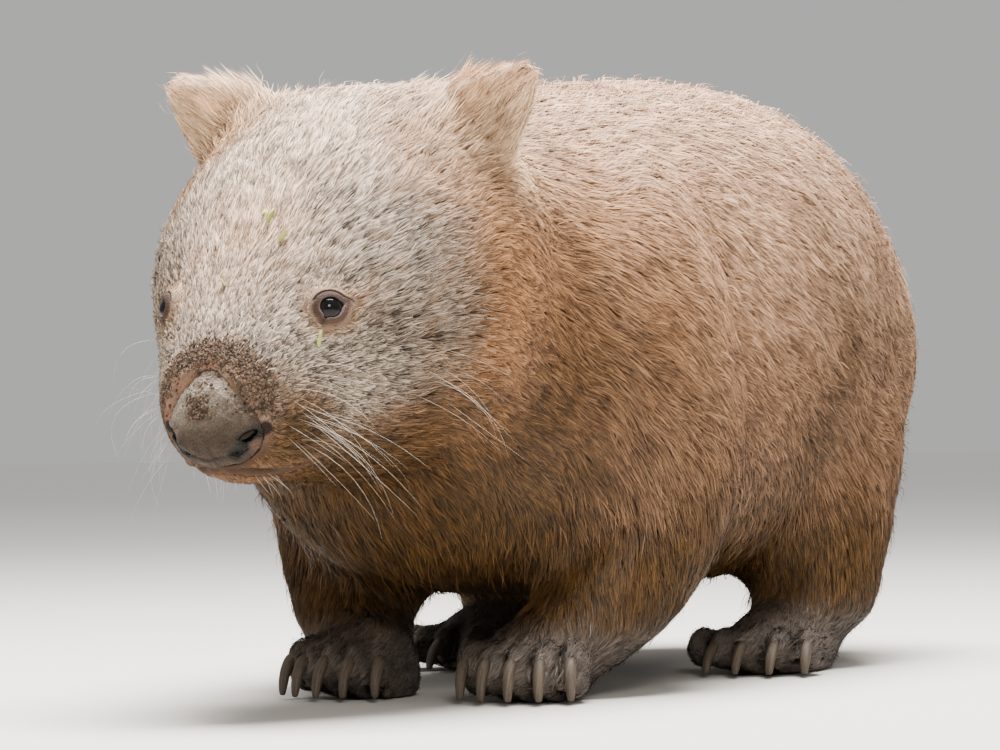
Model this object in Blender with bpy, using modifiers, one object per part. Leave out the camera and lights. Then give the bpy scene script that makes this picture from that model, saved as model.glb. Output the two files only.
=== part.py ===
"""Life-size bare-nosed wombat standing on all fours, its head held level with the back.

The wombat faces -Y, its left side is +X and the floor is z = 0. Sizes are in metres.
The flesh is modelled whole: soft lofts and ellipsoids are fused and smoothed, and thin cuts then
part it into head, neck, trunk, limbs and ears. Eyes, nose, claws and tail are set into sockets.
Left-side places are named, and the right side is their mirror image.
"""

import math
from dataclasses import dataclass

import bmesh
import bpy
from mathutils import Matrix, Vector
from mathutils.bvhtree import BVHTree

GAP = 0.0003
CORNER_GAP = GAP * math.sqrt(3)
WELD = 0.00001
SOFT_LEVELS = 2
LOFT_SIDES = 20
SQUARENESS = 2.3

# Trunk: one station is (y, top, bottom, half width).
TRUNK_STATIONS = (
    (-0.325, 0.362, 0.118, 0.104),
    (-0.250, 0.378, 0.076, 0.130),
    (-0.150, 0.394, 0.056, 0.154),
    (-0.030, 0.411, 0.052, 0.171),
    (0.090, 0.425, 0.053, 0.177),
    (0.180, 0.420, 0.062, 0.168),
    (0.250, 0.391, 0.080, 0.150),
    (0.310, 0.345, 0.112, 0.120),
    (0.350, 0.295, 0.160, 0.080),
)

# Head: the axis runs from the back of the skull to the nose; one station is (distance, up, down, half width).
HEAD_BACK = Vector((0.0, -0.260, 0.300))
HEAD_PITCH = math.radians(28.8)
HEAD_ROLL = math.radians(1.5)
ROLL_CENTRE = Vector((0.0, 0.0, 0.27))
HEAD_STATIONS = (
    (-0.030, 0.086, 0.110, 0.096),
    (0.010, 0.104, 0.126, 0.116),
    (0.060, 0.103, 0.128, 0.126),
    (0.100, 0.096, 0.122, 0.122),
    (0.140, 0.082, 0.108, 0.104),
    (0.175, 0.063, 0.090, 0.079),
    (0.205, 0.047, 0.070, 0.061),
    (0.235, 0.032, 0.056, 0.048),
    (0.255, 0.018, 0.040, 0.038),
)
MUZZLE = (Vector((0.0, -0.448, 0.179)), Vector((0.034, 0.030, 0.035)))
LIP_PAD = (Vector((0.024, -0.444, 0.163)), Vector((0.016, 0.024, 0.013)))
CHIN = (Vector((0.0, -0.444, 0.146)), Vector((0.021, 0.021, 0.010)))

# Limbs: one station is (x, y, z, half width, half depth).
FORELEG_STATIONS = (
    (0.092, -0.135, 0.255, 0.070, 0.092),
    (0.110, -0.130, 0.190, 0.064, 0.090),
    (0.114, -0.125, 0.130, 0.051, 0.076),
    (0.107, -0.152, 0.085, 0.040, 0.057),
    (0.088, -0.185, 0.050, 0.034, 0.044),
    (0.061, -0.212, 0.028, 0.031, 0.035),
)
HINDLEG_STATIONS = (
    (0.098, 0.170, 0.215, 0.070, 0.110),
    (0.112, 0.150, 0.150, 0.060, 0.095),
    (0.118, 0.140, 0.100, 0.052, 0.070),
    (0.118, 0.135, 0.055, 0.044, 0.050),
    (0.116, 0.130, 0.025, 0.040, 0.044),
)
SHOULDER = (Vector((0.100, -0.140, 0.225)), Vector((0.068, 0.110, 0.128)))
HIP = (Vector((0.062, 0.220, 0.228)), Vector((0.098, 0.114, 0.134)))
TAIL = (Vector((0.0, 0.341, 0.222)), Vector((0.012, 0.018, 0.013)))
TAIL_DROOP = math.radians(-35)


@dataclass(frozen=True)
class Paw:
    """One kind of paw: its palm, and how its toes and claws fan out from it."""

    name: str
    centre: Vector
    radii: Vector
    heading: float
    fan_step: float
    toe_spacing: float
    toe_reach: float
    toe_set_back: float
    toe_height: float
    toe_radii: Vector
    claw_reach: float
    claw_length: float
    claw_height: float
    claws: tuple


FOREPAW = Paw(
    name="fore",
    centre=Vector((0.060, -0.225, 0.020)),
    radii=Vector((0.032, 0.039, 0.034)),
    heading=math.radians(7),
    fan_step=math.radians(4),
    toe_spacing=0.0147,
    toe_reach=0.033,
    toe_set_back=0.0026,
    toe_height=0.0220,
    toe_radii=Vector((0.0089, 0.0200, 0.0185)),
    claw_reach=0.045,
    claw_length=0.0165,
    claw_height=0.0275,
    claws=(1, 2, 3, 4, 5),
)
HINDPAW = Paw(
    name="hind",
    centre=Vector((0.112, 0.086, 0.017)),
    radii=Vector((0.035, 0.074, 0.030)),
    heading=math.radians(3),
    fan_step=math.radians(5),
    toe_spacing=0.0150,
    toe_reach=0.063,
    toe_set_back=0.0034,
    toe_height=0.0190,
    toe_radii=Vector((0.0088, 0.0210, 0.0150)),
    claw_reach=0.075,
    claw_length=0.0190,
    claw_height=0.0225,
    claws=(2, 3, 4, 5),
)
TOES = (1, 2, 3, 4, 5)
MIDDLE_TOE = 3
# The forelegs and forefeet stand this far to the animal's left, below this height.
LEG_SHIFT = 0.012
PAW_SHIFT = 0.020
STANCE_HEIGHT = 0.200
CLAW_TIP_HEIGHT = 0.0030
# A claw's sections: (share of its length, share of its drop, half width, half thickness).
CLAW_STATIONS = (
    (0.00, 0.00, 0.0028, 0.0030),
    (0.25, 0.08, 0.0039, 0.0038),
    (0.52, 0.26, 0.0040, 0.0038),
    (0.76, 0.50, 0.0037, 0.0034),
    (0.92, 0.78, 0.0032, 0.0027),
    (1.00, 1.00, 0.0022, 0.0016),
)
# The claws' lengths from the inner to the outer toe, as shares of the longest.
CLAW_SHARES = (0.84, 0.97, 1.00, 0.96, 0.86)
CLAW_SIDES = 8

# Left ear, before the head's roll.
EAR_BASE = Vector((0.076, -0.312, 0.332))
EAR_TIP = Vector((0.124, -0.324, 0.388))
EAR_HALF_WIDTH = 0.045
EAR_HALF_DEPTH = 0.0135
EAR_UP_HINT = Vector((1, 0, -1))
# An ear's sections: (share of the way to the tip, share of its width, shift towards its upper edge).
EAR_STATIONS = (
    (-0.25, 0.92, 0.0050),
    (0.00, 0.88, 0.0060),
    (0.30, 0.67, 0.0055),
    (0.60, 0.42, 0.0020),
    (0.85, 0.25, -0.0010),
    (1.00, 0.12, -0.0010),
)
CUP_STATIONS = (
    (0.02, 0.45, 0.0055),
    (0.22, 0.47, 0.0055),
    (0.50, 0.33, 0.0030),
    (0.72, 0.21, 0.0004),
    (0.86, 0.11, -0.0010),
)
CUP_HALF_DEPTH = 0.0085
CUP_SHIFT = Vector((0.0035, -0.0135, -0.001))
# The block that parts an ear from the head: how far its near face lies along the ear, and its half sizes.
EAR_ROOT_START = 0.018
EAR_ROOT_HALF = Vector((0.10, 0.035, 0.075))

EYE_CENTRE = Vector((0.0508, -0.4350, 0.2400))
EYE_OUTWARD = Vector((0.70, -0.68, 0.22)).normalized()
EYE_RADIUS = 0.0105
LID_RISE = 0.0046
LID_HALF_LENGTH = 0.0112
LID_HALF_HEIGHT = 0.0096
LID_THICKNESS = 0.0034
LID_STEPS = 24
LID_SIDES = 8
LID_TILT = math.radians(-12)

NOSE_CENTRE = Vector((0.0, -0.4705, 0.1795))
NOSE_RADII = Vector((0.0290, 0.0190, 0.0305))
NOSE_TAPER = 0.34
NOSE_TAPER_CURVE = 0.35
NOSE_PITCH = math.radians(-3)
NOSTRIL = (Vector((0.0238, -0.4780, 0.1675)), Vector((0.0064, 0.0090, 0.0026)))
NOSTRIL_TILT = math.radians(-32)
NOSTRIL_TURN = math.radians(30)

# The mouth runs back from under the nose; its left half, before it is laid on the skin.
MOUTH_HALF = (
    Vector((0.0, -0.470, 0.1475)),
    Vector((0.011, -0.465, 0.1465)),
    Vector((0.022, -0.455, 0.1475)),
    Vector((0.031, -0.443, 0.1510)),
    Vector((0.038, -0.430, 0.1560)),
)
MOUTH_DEPTH = 0.0016
LIP_RADIUS = 0.0042
LIP_SPREAD = 0.0042

COARSE_VOXEL = 0.007
COARSE_ROUNDS = 14
FINE_VOXEL = 0.0032
FINE_ROUNDS = 3
HEAD_SHARE = 0.029
PAW_SHARE = 0.016
PLAIN_SHARE = 0.012

# Cutting blocks. Each is a lower and an upper rectangle: (z, x inner, x outer, y front, y back).
ARM_BLOCK = ((-0.05, -0.006, 0.30, -0.40, -0.02), (0.100, 0.046, 0.30, -0.40, -0.02))
SHOULDER_BLOCK = ((0.100, 0.050, 0.30, -0.236, -0.030), (0.290, 0.112, 0.30, -0.236, -0.030))
SHANK_BLOCK = ((-0.05, 0.020, 0.30, -0.02, 0.300), (0.100, 0.062, 0.30, -0.02, 0.300))
THIGH_BLOCK = ((0.100, 0.062, 0.30, 0.030, 0.300), (0.275, 0.122, 0.30, 0.060, 0.280))
FOREPAW_BLOCK = ((-0.05, -0.02, 0.40, -0.40, 0.10), (0.052, -0.02, 0.40, -0.40, 0.10))
HINDFOOT_BLOCK = ((-0.05, -0.02, 0.40, -0.10, 0.40), (0.050, -0.02, 0.40, -0.10, 0.40))
HEAD_BLOCK = ((0.122, -0.30, 0.30, -0.60, -0.285), (0.500, -0.30, 0.30, -0.60, -0.258))
NECK_BLOCK = ((0.020, -0.30, 0.30, -0.45, -0.212), (0.520, -0.30, 0.30, -0.45, -0.200))
GROUND_BLOCK = ((-0.20, -0.5, 0.5, -0.7, 0.7), (0.0, -0.5, 0.5, -0.7, 0.7))
HINDQUARTER_BLOCK = ((-0.05, -0.40, 0.40, 0.120, 0.60), (0.520, -0.40, 0.40, 0.120, 0.60))


@dataclass(frozen=True)
class Finish:
    """The colour and surface of one kind of part."""

    colour: tuple
    roughness: float
    metallic: float = 0.0


COAT = Finish(colour=(0.235, 0.150, 0.092), roughness=0.9)
FACE_COAT = Finish(colour=(0.270, 0.205, 0.150), roughness=0.9)
LEG_COAT = Finish(colour=(0.115, 0.076, 0.050), roughness=0.9)
NOSE_SKIN = Finish(colour=(0.130, 0.098, 0.076), roughness=0.7)
EYE_GLOSS = Finish(colour=(0.010, 0.008, 0.007), roughness=0.05)
CLAW_HORN = Finish(colour=(0.330, 0.270, 0.200), roughness=0.5)


def clear_scene():
    for old in list(bpy.data.objects):
        bpy.data.objects.remove(old)


def new_collection(name):
    collection = bpy.data.collections.new(name)
    bpy.context.scene.collection.children.link(collection)
    return collection


def placed(name, bm, collection):
    """A new object in the collection, made from the bmesh."""
    mesh = bpy.data.meshes.new(name)
    bm.to_mesh(mesh)
    bm.free()
    obj = bpy.data.objects.new(name, mesh)
    collection.objects.link(obj)
    return obj


def evaluated_mesh(obj):
    bpy.context.view_layer.update()
    return bpy.data.meshes.new_from_object(obj.evaluated_get(bpy.context.evaluated_depsgraph_get()))


def applied(obj):
    """The object with its modifiers made part of its mesh."""
    mesh = evaluated_mesh(obj)
    obj.modifiers.clear()
    obj.data = mesh
    return obj


def copied(name, obj, collection):
    copy = bpy.data.objects.new(name, obj.data.copy())
    collection.objects.link(copy)
    return copy


def superellipse(angle):
    """A point of the slightly square unit ellipse that the lofts use."""
    c, s = math.cos(angle), math.sin(angle)
    return (
        math.copysign(abs(c) ** (2 / SQUARENESS), c),
        math.copysign(abs(s) ** (2 / SQUARENESS), s),
    )


def loft(name, rings, collection, up_hint=Vector((0, 0, 1)), sides=LOFT_SIDES, levels=SOFT_LEVELS):
    """A closed soft form through rings of (centre, half side, half up), each across the path."""
    bm = bmesh.new()
    loops = []
    for i, (centre, half_side, half_up) in enumerate(rings):
        ahead = rings[min(i + 1, len(rings) - 1)][0]
        behind = rings[max(i - 1, 0)][0]
        along = (ahead - behind).normalized()
        side = along.cross(up_hint).normalized()
        up = side.cross(along)
        loop = []
        for k in range(sides):
            across, rise = superellipse(2 * math.pi * k / sides)
            loop.append(bm.verts.new(centre + side * (half_side * across) + up * (half_up * rise)))
        loops.append(loop)
    for lower, upper in zip(loops, loops[1:]):
        for k in range(sides):
            m = (k + 1) % sides
            bm.faces.new((lower[k], lower[m], upper[m], upper[k]))
    bm.faces.new(loops[0][::-1])
    bm.faces.new(loops[-1])
    bmesh.ops.recalc_face_normals(bm, faces=bm.faces)
    obj = placed(name, bm, collection)
    soft = obj.modifiers.new("soft", "SUBSURF")
    soft.levels = soft.render_levels = levels
    return applied(obj)


def ellipsoid(name, centre, radii, collection, turn=None, around=24, rows=16):
    bm = bmesh.new()
    place = Matrix.Translation(centre) @ (turn or Matrix.Identity(4)) @ Matrix.Diagonal((*radii, 1))
    bmesh.ops.create_uvsphere(bm, u_segments=around, v_segments=rows, radius=1, matrix=place)
    return placed(name, bm, collection)


def tube(name, points, radius, collection):
    """A closed round tube along the points."""
    curve = bpy.data.curves.new(name, "CURVE")
    curve.dimensions = "3D"
    curve.bevel_depth = radius
    curve.bevel_resolution = 2
    curve.use_fill_caps = True
    spline = curve.splines.new("POLY")
    spline.points.add(len(points) - 1)
    for point, place in zip(spline.points, points):
        point.co = (*place, 1)
    route = bpy.data.objects.new(name + "_route", curve)
    collection.objects.link(route)
    bm = bmesh.new()
    bm.from_mesh(evaluated_mesh(route))
    bmesh.ops.remove_doubles(bm, verts=bm.verts, dist=WELD)
    bmesh.ops.recalc_face_normals(bm, faces=bm.faces)
    bpy.data.objects.remove(route)
    return placed(name, bm, collection)


def mirrored(name, obj, collection):
    """The same form on the right side."""
    bm = bmesh.new()
    bm.from_mesh(obj.data)
    bmesh.ops.scale(bm, vec=(-1, 1, 1), verts=bm.verts)
    bmesh.ops.reverse_faces(bm, faces=bm.faces)
    return placed(name, bm, collection)


def both_sides(obj, collection):
    return [obj, mirrored(obj.name + "_right", obj, collection)]


def roll_head(obj):
    """Leans a form of the head a little to its left."""
    centre = Matrix.Translation(ROLL_CENTRE)
    obj.data.transform(centre @ Matrix.Rotation(HEAD_ROLL, 4, "Y") @ centre.inverted())
    return obj


def head_point(distance, rise):
    """A point in the middle plane of the head, by its distance along the axis and its rise above it."""
    forward = Vector((0, -math.cos(HEAD_PITCH), -math.sin(HEAD_PITCH)))
    upward = Vector((0, -math.sin(HEAD_PITCH), math.cos(HEAD_PITCH)))
    return HEAD_BACK + forward * distance + upward * rise


def fused(name, objects, voxel, rounds, collection):
    """The objects as one closed mesh, remeshed at this voxel size and smoothed."""
    bm = bmesh.new()
    for obj in objects:
        bm.from_mesh(obj.data)
    whole = placed(name, bm, collection)
    remesh = whole.modifiers.new("fuse", "REMESH")
    remesh.mode = "VOXEL"
    remesh.voxel_size = voxel
    smooth = whole.modifiers.new("smooth", "SMOOTH")
    smooth.factor = 0.5
    smooth.iterations = rounds
    for obj in objects:
        bpy.data.objects.remove(obj)
    return applied(whole)


def thinned(name, obj, share, collection):
    """A copy of the object with this share of its triangles."""
    copy = copied(name, obj, collection)
    fewer = copy.modifiers.new("fewer", "DECIMATE")
    fewer.ratio = share
    return applied(copy)


def grown(obj, distance, collection):
    """A copy of the object with each point moved out along its normal."""
    bm = bmesh.new()
    bm.from_mesh(obj.data)
    bm.normal_update()
    for vert in bm.verts:
        vert.co += vert.normal * distance
    return placed(obj.name + "_grown", bm, collection)


def block(name, rectangles, collection, side=1):
    """A convex cutting block through two rectangles of (z, x inner, x outer, y front, y back)."""
    bm = bmesh.new()
    for z, x_inner, x_outer, y_front, y_back in rectangles:
        for x in (x_inner, x_outer):
            for y in (y_front, y_back):
                bm.verts.new((side * x, y, z))
    bmesh.ops.convex_hull(bm, input=bm.verts)
    bmesh.ops.recalc_face_normals(bm, faces=bm.faces)
    return placed(name, bm, collection)


def largest_body(obj):
    """The object without the loose crumbs that a cut may leave."""
    bm = bmesh.new()
    bm.from_mesh(obj.data)
    unseen = set(bm.verts)
    bodies = []
    while unseen:
        body = set()
        reached = [unseen.pop()]
        while reached:
            vert = reached.pop()
            body.add(vert)
            for edge in vert.link_edges:
                other = edge.other_vert(vert)
                if other in unseen:
                    unseen.discard(other)
                    reached.append(other)
        bodies.append(body)
    keep = max(bodies, key=len)
    bmesh.ops.delete(bm, geom=[vert for vert in bm.verts if vert not in keep], context="VERTS")
    bm.to_mesh(obj.data)
    bm.free()
    return obj


def is_closed(mesh):
    bm = bmesh.new()
    bm.from_mesh(mesh)
    closed = len(bm.faces) > 0 and all(edge.is_manifold for edge in bm.edges)
    bm.free()
    return closed


def combined(obj, tool, operation):
    """The object joined with, cut by or limited to the tool. The second solver is for where the first fails."""
    boolean = obj.modifiers.new("combine", "BOOLEAN")
    boolean.operation = operation
    boolean.object = tool
    for solver in ("EXACT", "MANIFOLD"):
        boolean.solver = solver
        mesh = evaluated_mesh(obj)
        if is_closed(mesh):
            break
    obj.modifiers.clear()
    obj.data = mesh
    return obj


def set_in(host, piece, cutters):
    """Cuts the socket of a set-in piece, with the gap, into its host."""
    socket = grown(piece, GAP, cutters)
    combined(host, socket, "DIFFERENCE")
    return largest_body(host)


def take(name, source, cutter, parts):
    """The part of the source inside the cutter, as a node of its own."""
    node = copied(name, source, parts)
    return largest_body(combined(node, cutter, "INTERSECT"))


def remove_region(obj, cutter, cutters):
    combined(obj, grown(cutter, CORNER_GAP, cutters), "DIFFERENCE")


def trunk_form(forms):
    rings = [
        (Vector((0, y, (top + bottom) / 2)), half_width, (top - bottom) / 2)
        for y, top, bottom, half_width in TRUNK_STATIONS
    ]
    return loft("trunk_form", rings, forms)


def head_form(forms):
    rings = [
        (head_point(distance, (up - down) / 2), half_width, (up + down) / 2)
        for distance, up, down, half_width in HEAD_STATIONS
    ]
    return roll_head(loft("head_form", rings, forms))


def leaned(obj, shift=PAW_SHIFT):
    """Moves the lower part of a form of the forelegs to the animal's left."""
    for vert in obj.data.vertices:
        share = min(1.0, max(0.0, 1 - vert.co.z / STANCE_HEIGHT))
        vert.co.x += shift * share
    return obj


def limb_forms(forms):
    made = []
    for name, stations in (("foreleg", FORELEG_STATIONS), ("hindleg", HINDLEG_STATIONS)):
        rings = [(Vector((x, y, z)), half_width, half_depth) for x, y, z, half_width, half_depth in stations]
        made += both_sides(loft(name, rings, forms, up_hint=Vector((0, -1, 0))), forms)
    for name, (centre, radii) in (("shoulder", SHOULDER), ("hip", HIP)):
        made += both_sides(ellipsoid(name, centre, radii, forms), forms)
    for paw in (FOREPAW, HINDPAW):
        turn = Matrix.Rotation(paw.heading, 4, "Z")
        made += both_sides(ellipsoid(paw.name + "_palm", paw.centre, paw.radii, forms, turn), forms)
    for form in made:
        if form.name.startswith("foreleg"):
            leaned(form, LEG_SHIFT)
        elif form.name.startswith(FOREPAW.name):
            leaned(form)
    return made


def ear_rings(stations, half_depth, shift=Vector((0, 0, 0))):
    along = EAR_TIP - EAR_BASE
    upper_edge = along.cross(along.cross(EAR_UP_HINT)).normalized()
    rings = []
    for share, width, rise in stations:
        depth = half_depth * (0.5 + 0.5 * width)
        centre = EAR_BASE.lerp(EAR_TIP, share) + shift + upper_edge * rise
        rings.append((centre, depth, EAR_HALF_WIDTH * width))
    return rings


def ear_forms(forms):
    ear = loft("ear", ear_rings(EAR_STATIONS, EAR_HALF_DEPTH), forms, up_hint=EAR_UP_HINT)
    return [roll_head(form) for form in both_sides(ear, forms)]


def toe_place(paw, toe, reach):
    """A point along one toe of the left paw, with the way the toe points and its angle."""
    steps = toe - MIDDLE_TOE
    angle = paw.heading + steps * paw.fan_step
    ahead = Vector((math.sin(angle), -math.cos(angle), 0))
    across = Vector((math.cos(paw.heading), math.sin(paw.heading), 0))
    set_back = paw.toe_set_back * steps * steps
    return paw.centre + across * (steps * paw.toe_spacing) + ahead * (reach - set_back), ahead, angle


def toe_forms(forms):
    made = []
    for paw in (FOREPAW, HINDPAW):
        for toe in TOES:
            centre, _, angle = toe_place(paw, toe, paw.toe_reach)
            centre.z = paw.toe_height
            turn = Matrix.Rotation(angle, 4, "Z")
            toes = both_sides(ellipsoid(f"{paw.name}_toe_{toe}", centre, paw.toe_radii, forms, turn), forms)
            made += [leaned(form) for form in toes] if paw is FOREPAW else toes
    return made


def face_forms(forms):
    muzzle = ellipsoid("muzzle", *MUZZLE, forms)
    chin = ellipsoid("chin", *CHIN, forms)
    pads = both_sides(ellipsoid("lip_pad", *LIP_PAD, forms), forms)
    return [roll_head(form) for form in (muzzle, chin, *pads)]


def mouth_route():
    """The points of the whole mouth from its right to its left corner."""
    right = [Vector((-point.x, point.y, point.z)) for point in MOUTH_HALF[:0:-1]]
    centre = Matrix.Translation(ROLL_CENTRE)
    roll = centre @ Matrix.Rotation(HEAD_ROLL, 4, "Y") @ centre.inverted()
    return [roll @ point for point in right + list(MOUTH_HALF)]


def laid_on(obj, points, drop=0.0, lift=0.0):
    """The points moved to the nearest places on the object, then down and outwards by these amounts."""
    bm = bmesh.new()
    bm.from_mesh(obj.data)
    tree = BVHTree.FromBMesh(bm)
    bm.free()
    laid = []
    for point in points:
        place, normal, _, _ = tree.find_nearest(point + Vector((0, 0, -drop)))
        laid.append(place + normal * lift)
    return laid


def lip_forms(coarse, forms):
    """Soft rims above and below the mouth."""
    made = []
    for name, drop in (("upper_lip", -LIP_SPREAD), ("lower_lip", LIP_SPREAD)):
        route = laid_on(coarse, mouth_route(), drop=drop, lift=-LIP_RADIUS * 0.45)
        made.append(tube(name, route, LIP_RADIUS, forms))
    return made


def flattened_soles(obj, cutters):
    """Cuts the paws off at the floor, which leaves a flat sole under each."""
    ground = block("ground", GROUND_BLOCK, cutters)
    return combined(obj, ground, "DIFFERENCE")


def flesh(forms):
    coarse_forms = [trunk_form(forms), head_form(forms)] + limb_forms(forms) + face_forms(forms)
    coarse = fused("coarse", coarse_forms, COARSE_VOXEL, COARSE_ROUNDS, forms)
    details = ear_forms(forms) + toe_forms(forms) + lip_forms(coarse, forms)
    return fused("flesh", [coarse] + details, FINE_VOXEL, FINE_ROUNDS, forms)


def eye_frame():
    """Turns local X along the opening, Y across it and Z outwards from the left eye."""
    along = Vector((0, 0, 1)).cross(EYE_OUTWARD).normalized()
    across = EYE_OUTWARD.cross(along)
    turn = Matrix((along, across, EYE_OUTWARD)).transposed().to_4x4()
    return Matrix.Translation(EYE_CENTRE) @ turn @ Matrix.Rotation(LID_TILT, 4, "Z")


def lid_ring(cutters):
    """A soft ring of the two lids round the left eye."""
    frame = eye_frame()
    centre = frame @ Vector((0, 0, LID_RISE))
    bm = bmesh.new()
    loops = []
    for i in range(LID_STEPS):
        turn = 2 * math.pi * i / LID_STEPS
        local = Vector((LID_HALF_LENGTH * math.cos(turn), LID_HALF_HEIGHT * math.sin(turn), LID_RISE))
        point = frame @ local
        outward = (point - centre).normalized()
        loop = []
        for k in range(LID_SIDES):
            angle = 2 * math.pi * k / LID_SIDES
            offset = outward * math.cos(angle) + EYE_OUTWARD * math.sin(angle)
            loop.append(bm.verts.new(point + offset * LID_THICKNESS))
        loops.append(loop)
    for i, loop in enumerate(loops):
        following = loops[(i + 1) % LID_STEPS]
        for k in range(LID_SIDES):
            m = (k + 1) % LID_SIDES
            bm.faces.new((loop[k], loop[m], following[m], following[k]))
    bmesh.ops.recalc_face_normals(bm, faces=bm.faces)
    return placed("lid_ring", bm, cutters)


def make_eyes(head, parts, cutters):
    ball = ellipsoid("eye_left", EYE_CENTRE, Vector((EYE_RADIUS,) * 3), parts, around=16, rows=10)
    balls = [ball, mirrored("eye_right", ball, parts)]
    for ring in both_sides(lid_ring(cutters), cutters):
        combined(head, roll_head(ring), "UNION")
    for eye in balls:
        set_in(head, roll_head(eye), cutters)


def make_nose(head, parts, cutters):
    """A broad pad, narrower at its top, with a slanted nostril on each side."""
    bm = bmesh.new()
    bmesh.ops.create_uvsphere(bm, u_segments=20, v_segments=14, radius=1)
    for vert in bm.verts:
        vert.co.x *= 1 - NOSE_TAPER * (vert.co.z + NOSE_TAPER_CURVE * vert.co.z * vert.co.z)
    turn = Matrix.Rotation(NOSE_PITCH, 4, "X")
    bm.transform(Matrix.Translation(NOSE_CENTRE) @ turn @ Matrix.Diagonal((*NOSE_RADII, 1)))
    nose = roll_head(placed("nose", bm, parts))
    set_in(head, nose, cutters)
    centre, radii = NOSTRIL
    turn = Matrix.Rotation(NOSTRIL_TURN, 4, "Z") @ Matrix.Rotation(NOSTRIL_TILT, 4, "Y")
    for nostril in both_sides(ellipsoid("nostril", centre, radii, cutters, turn, around=16, rows=10), cutters):
        combined(nose, roll_head(nostril), "DIFFERENCE")


def make_mouth(head, cutters):
    groove = tube("mouth_groove", laid_on(head, mouth_route()), MOUTH_DEPTH, cutters)
    combined(head, groove, "DIFFERENCE")


def make_claws(paw, hosts, parts, cutters):
    """The claws of the left and the right paw of this kind."""
    for number, toe in enumerate(paw.claws, start=1):
        root, ahead, _ = toe_place(paw, toe, paw.claw_reach)
        length = paw.claw_length * CLAW_SHARES[toe - 1]
        rings = []
        for share, fallen, half_width, half_thickness in CLAW_STATIONS:
            place = root + ahead * (share * length)
            place.z = paw.claw_height + (CLAW_TIP_HEIGHT - paw.claw_height) * fallen
            rings.append((place, half_width, half_thickness))
        name = f"{paw.name}_claw"
        left = loft(f"{name}_left_{number}", rings, parts, sides=CLAW_SIDES, levels=0)
        for host, claw in zip(hosts, (left, mirrored(f"{name}_right_{number}", left, parts))):
            if paw is FOREPAW:
                leaned(claw)
            set_in(host, claw, cutters)


def make_ears(head, parts, cutters):
    """Cuts each ear off the head at its root and hollows its cup."""
    cup = loft("cup", ear_rings(CUP_STATIONS, CUP_HALF_DEPTH, CUP_SHIFT), cutters, up_hint=EAR_UP_HINT, levels=1)
    cups = [roll_head(form) for form in both_sides(cup, cutters)]
    along = (EAR_TIP - EAR_BASE).normalized()
    across = Vector((0, 1, 0))
    over = along.cross(across).normalized()
    turn = Matrix((along, across, over)).transposed().to_4x4()
    start = EAR_BASE + along * (EAR_ROOT_HALF.x + EAR_ROOT_START)
    for side, name, hollow in ((1, "ear_left", cups[0]), (-1, "ear_right", cups[1])):
        bm = bmesh.new()
        bmesh.ops.create_cube(bm, size=2)
        bm.transform(Matrix.Translation(start) @ turn @ Matrix.Diagonal((*EAR_ROOT_HALF, 1)))
        root = placed(name + "_root", bm, cutters)
        if side < 0:
            root = mirrored(name + "_root_right", root, cutters)
        roll_head(root)
        ear = take(name, head, root, parts)
        remove_region(head, root, cutters)
        largest_body(head)
        combined(ear, hollow, "DIFFERENCE")
        largest_body(ear)


def make_limbs(kind, blocks, names, fine, plain, parts, cutters):
    """Parts one kind of limb, both sides: its upper part, its lower part and its paw."""
    upper_block, lower_block, paw_block = blocks
    upper_name, lower_name, paw_name = names
    paws = []
    for side, ending in ((1, "left"), (-1, "right")):
        lower_cutter = block(f"{kind}_lower_{ending}", lower_block, cutters, side)
        upper_cutter = block(f"{kind}_upper_{ending}", upper_block, cutters, side)
        paw_cutter = block(f"{kind}_paw_{ending}", paw_block, cutters, side)
        paw = take(f"{paw_name}_{ending}", fine, lower_cutter, parts)
        largest_body(combined(paw, paw_cutter, "INTERSECT"))
        lower = take(f"{lower_name}_{ending}", plain, lower_cutter, parts)
        remove_region(lower, paw_cutter, cutters)
        largest_body(lower)
        remove_region(plain, lower_cutter, cutters)
        take(f"{upper_name}_{ending}", plain, upper_cutter, parts)
        remove_region(plain, upper_cutter, cutters)
        paws.append(paw)
    return paws


def make_trunk(fine, plain, parts, cutters):
    """Parts the head, the neck and the two halves of the trunk. Returns the head and the hindquarters."""
    head_cutter = block("head_block", HEAD_BLOCK, cutters)
    neck_cutter = block("neck_block", NECK_BLOCK, cutters)
    rear_cutter = block("rear_block", HINDQUARTER_BLOCK, cutters)
    head = take("head", fine, head_cutter, parts)
    remove_region(plain, head_cutter, cutters)
    take("neck", plain, neck_cutter, parts)
    remove_region(plain, neck_cutter, cutters)
    rear = take("hindquarters", plain, rear_cutter, parts)
    torso = copied("torso", plain, parts)
    remove_region(torso, rear_cutter, cutters)
    largest_body(torso)
    return head, rear


def make_tail(rear, parts, cutters):
    turn = Matrix.Rotation(TAIL_DROOP, 4, "X")
    tail = ellipsoid("tail", *TAIL, parts, turn, around=12, rows=8)
    set_in(rear, tail, cutters)


def finish_for(name):
    if name.startswith("eye"):
        return EYE_GLOSS
    if "claw" in name:
        return CLAW_HORN
    if name == "nose":
        return NOSE_SKIN
    if name.startswith(("head", "ear")):
        return FACE_COAT
    if name.startswith(("foreleg", "forepaw", "hindleg", "hindfoot")):
        return LEG_COAT
    return COAT


def paint(obj):
    finish = finish_for(obj.name)
    material = bpy.data.materials.new(obj.name)
    material.use_nodes = True
    shader = material.node_tree.nodes["Principled BSDF"]
    shader.inputs["Base Color"].default_value = (*finish.colour, 1)
    shader.inputs["Roughness"].default_value = finish.roughness
    shader.inputs["Metallic"].default_value = finish.metallic
    obj.data.materials.clear()
    obj.data.materials.append(material)


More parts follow.
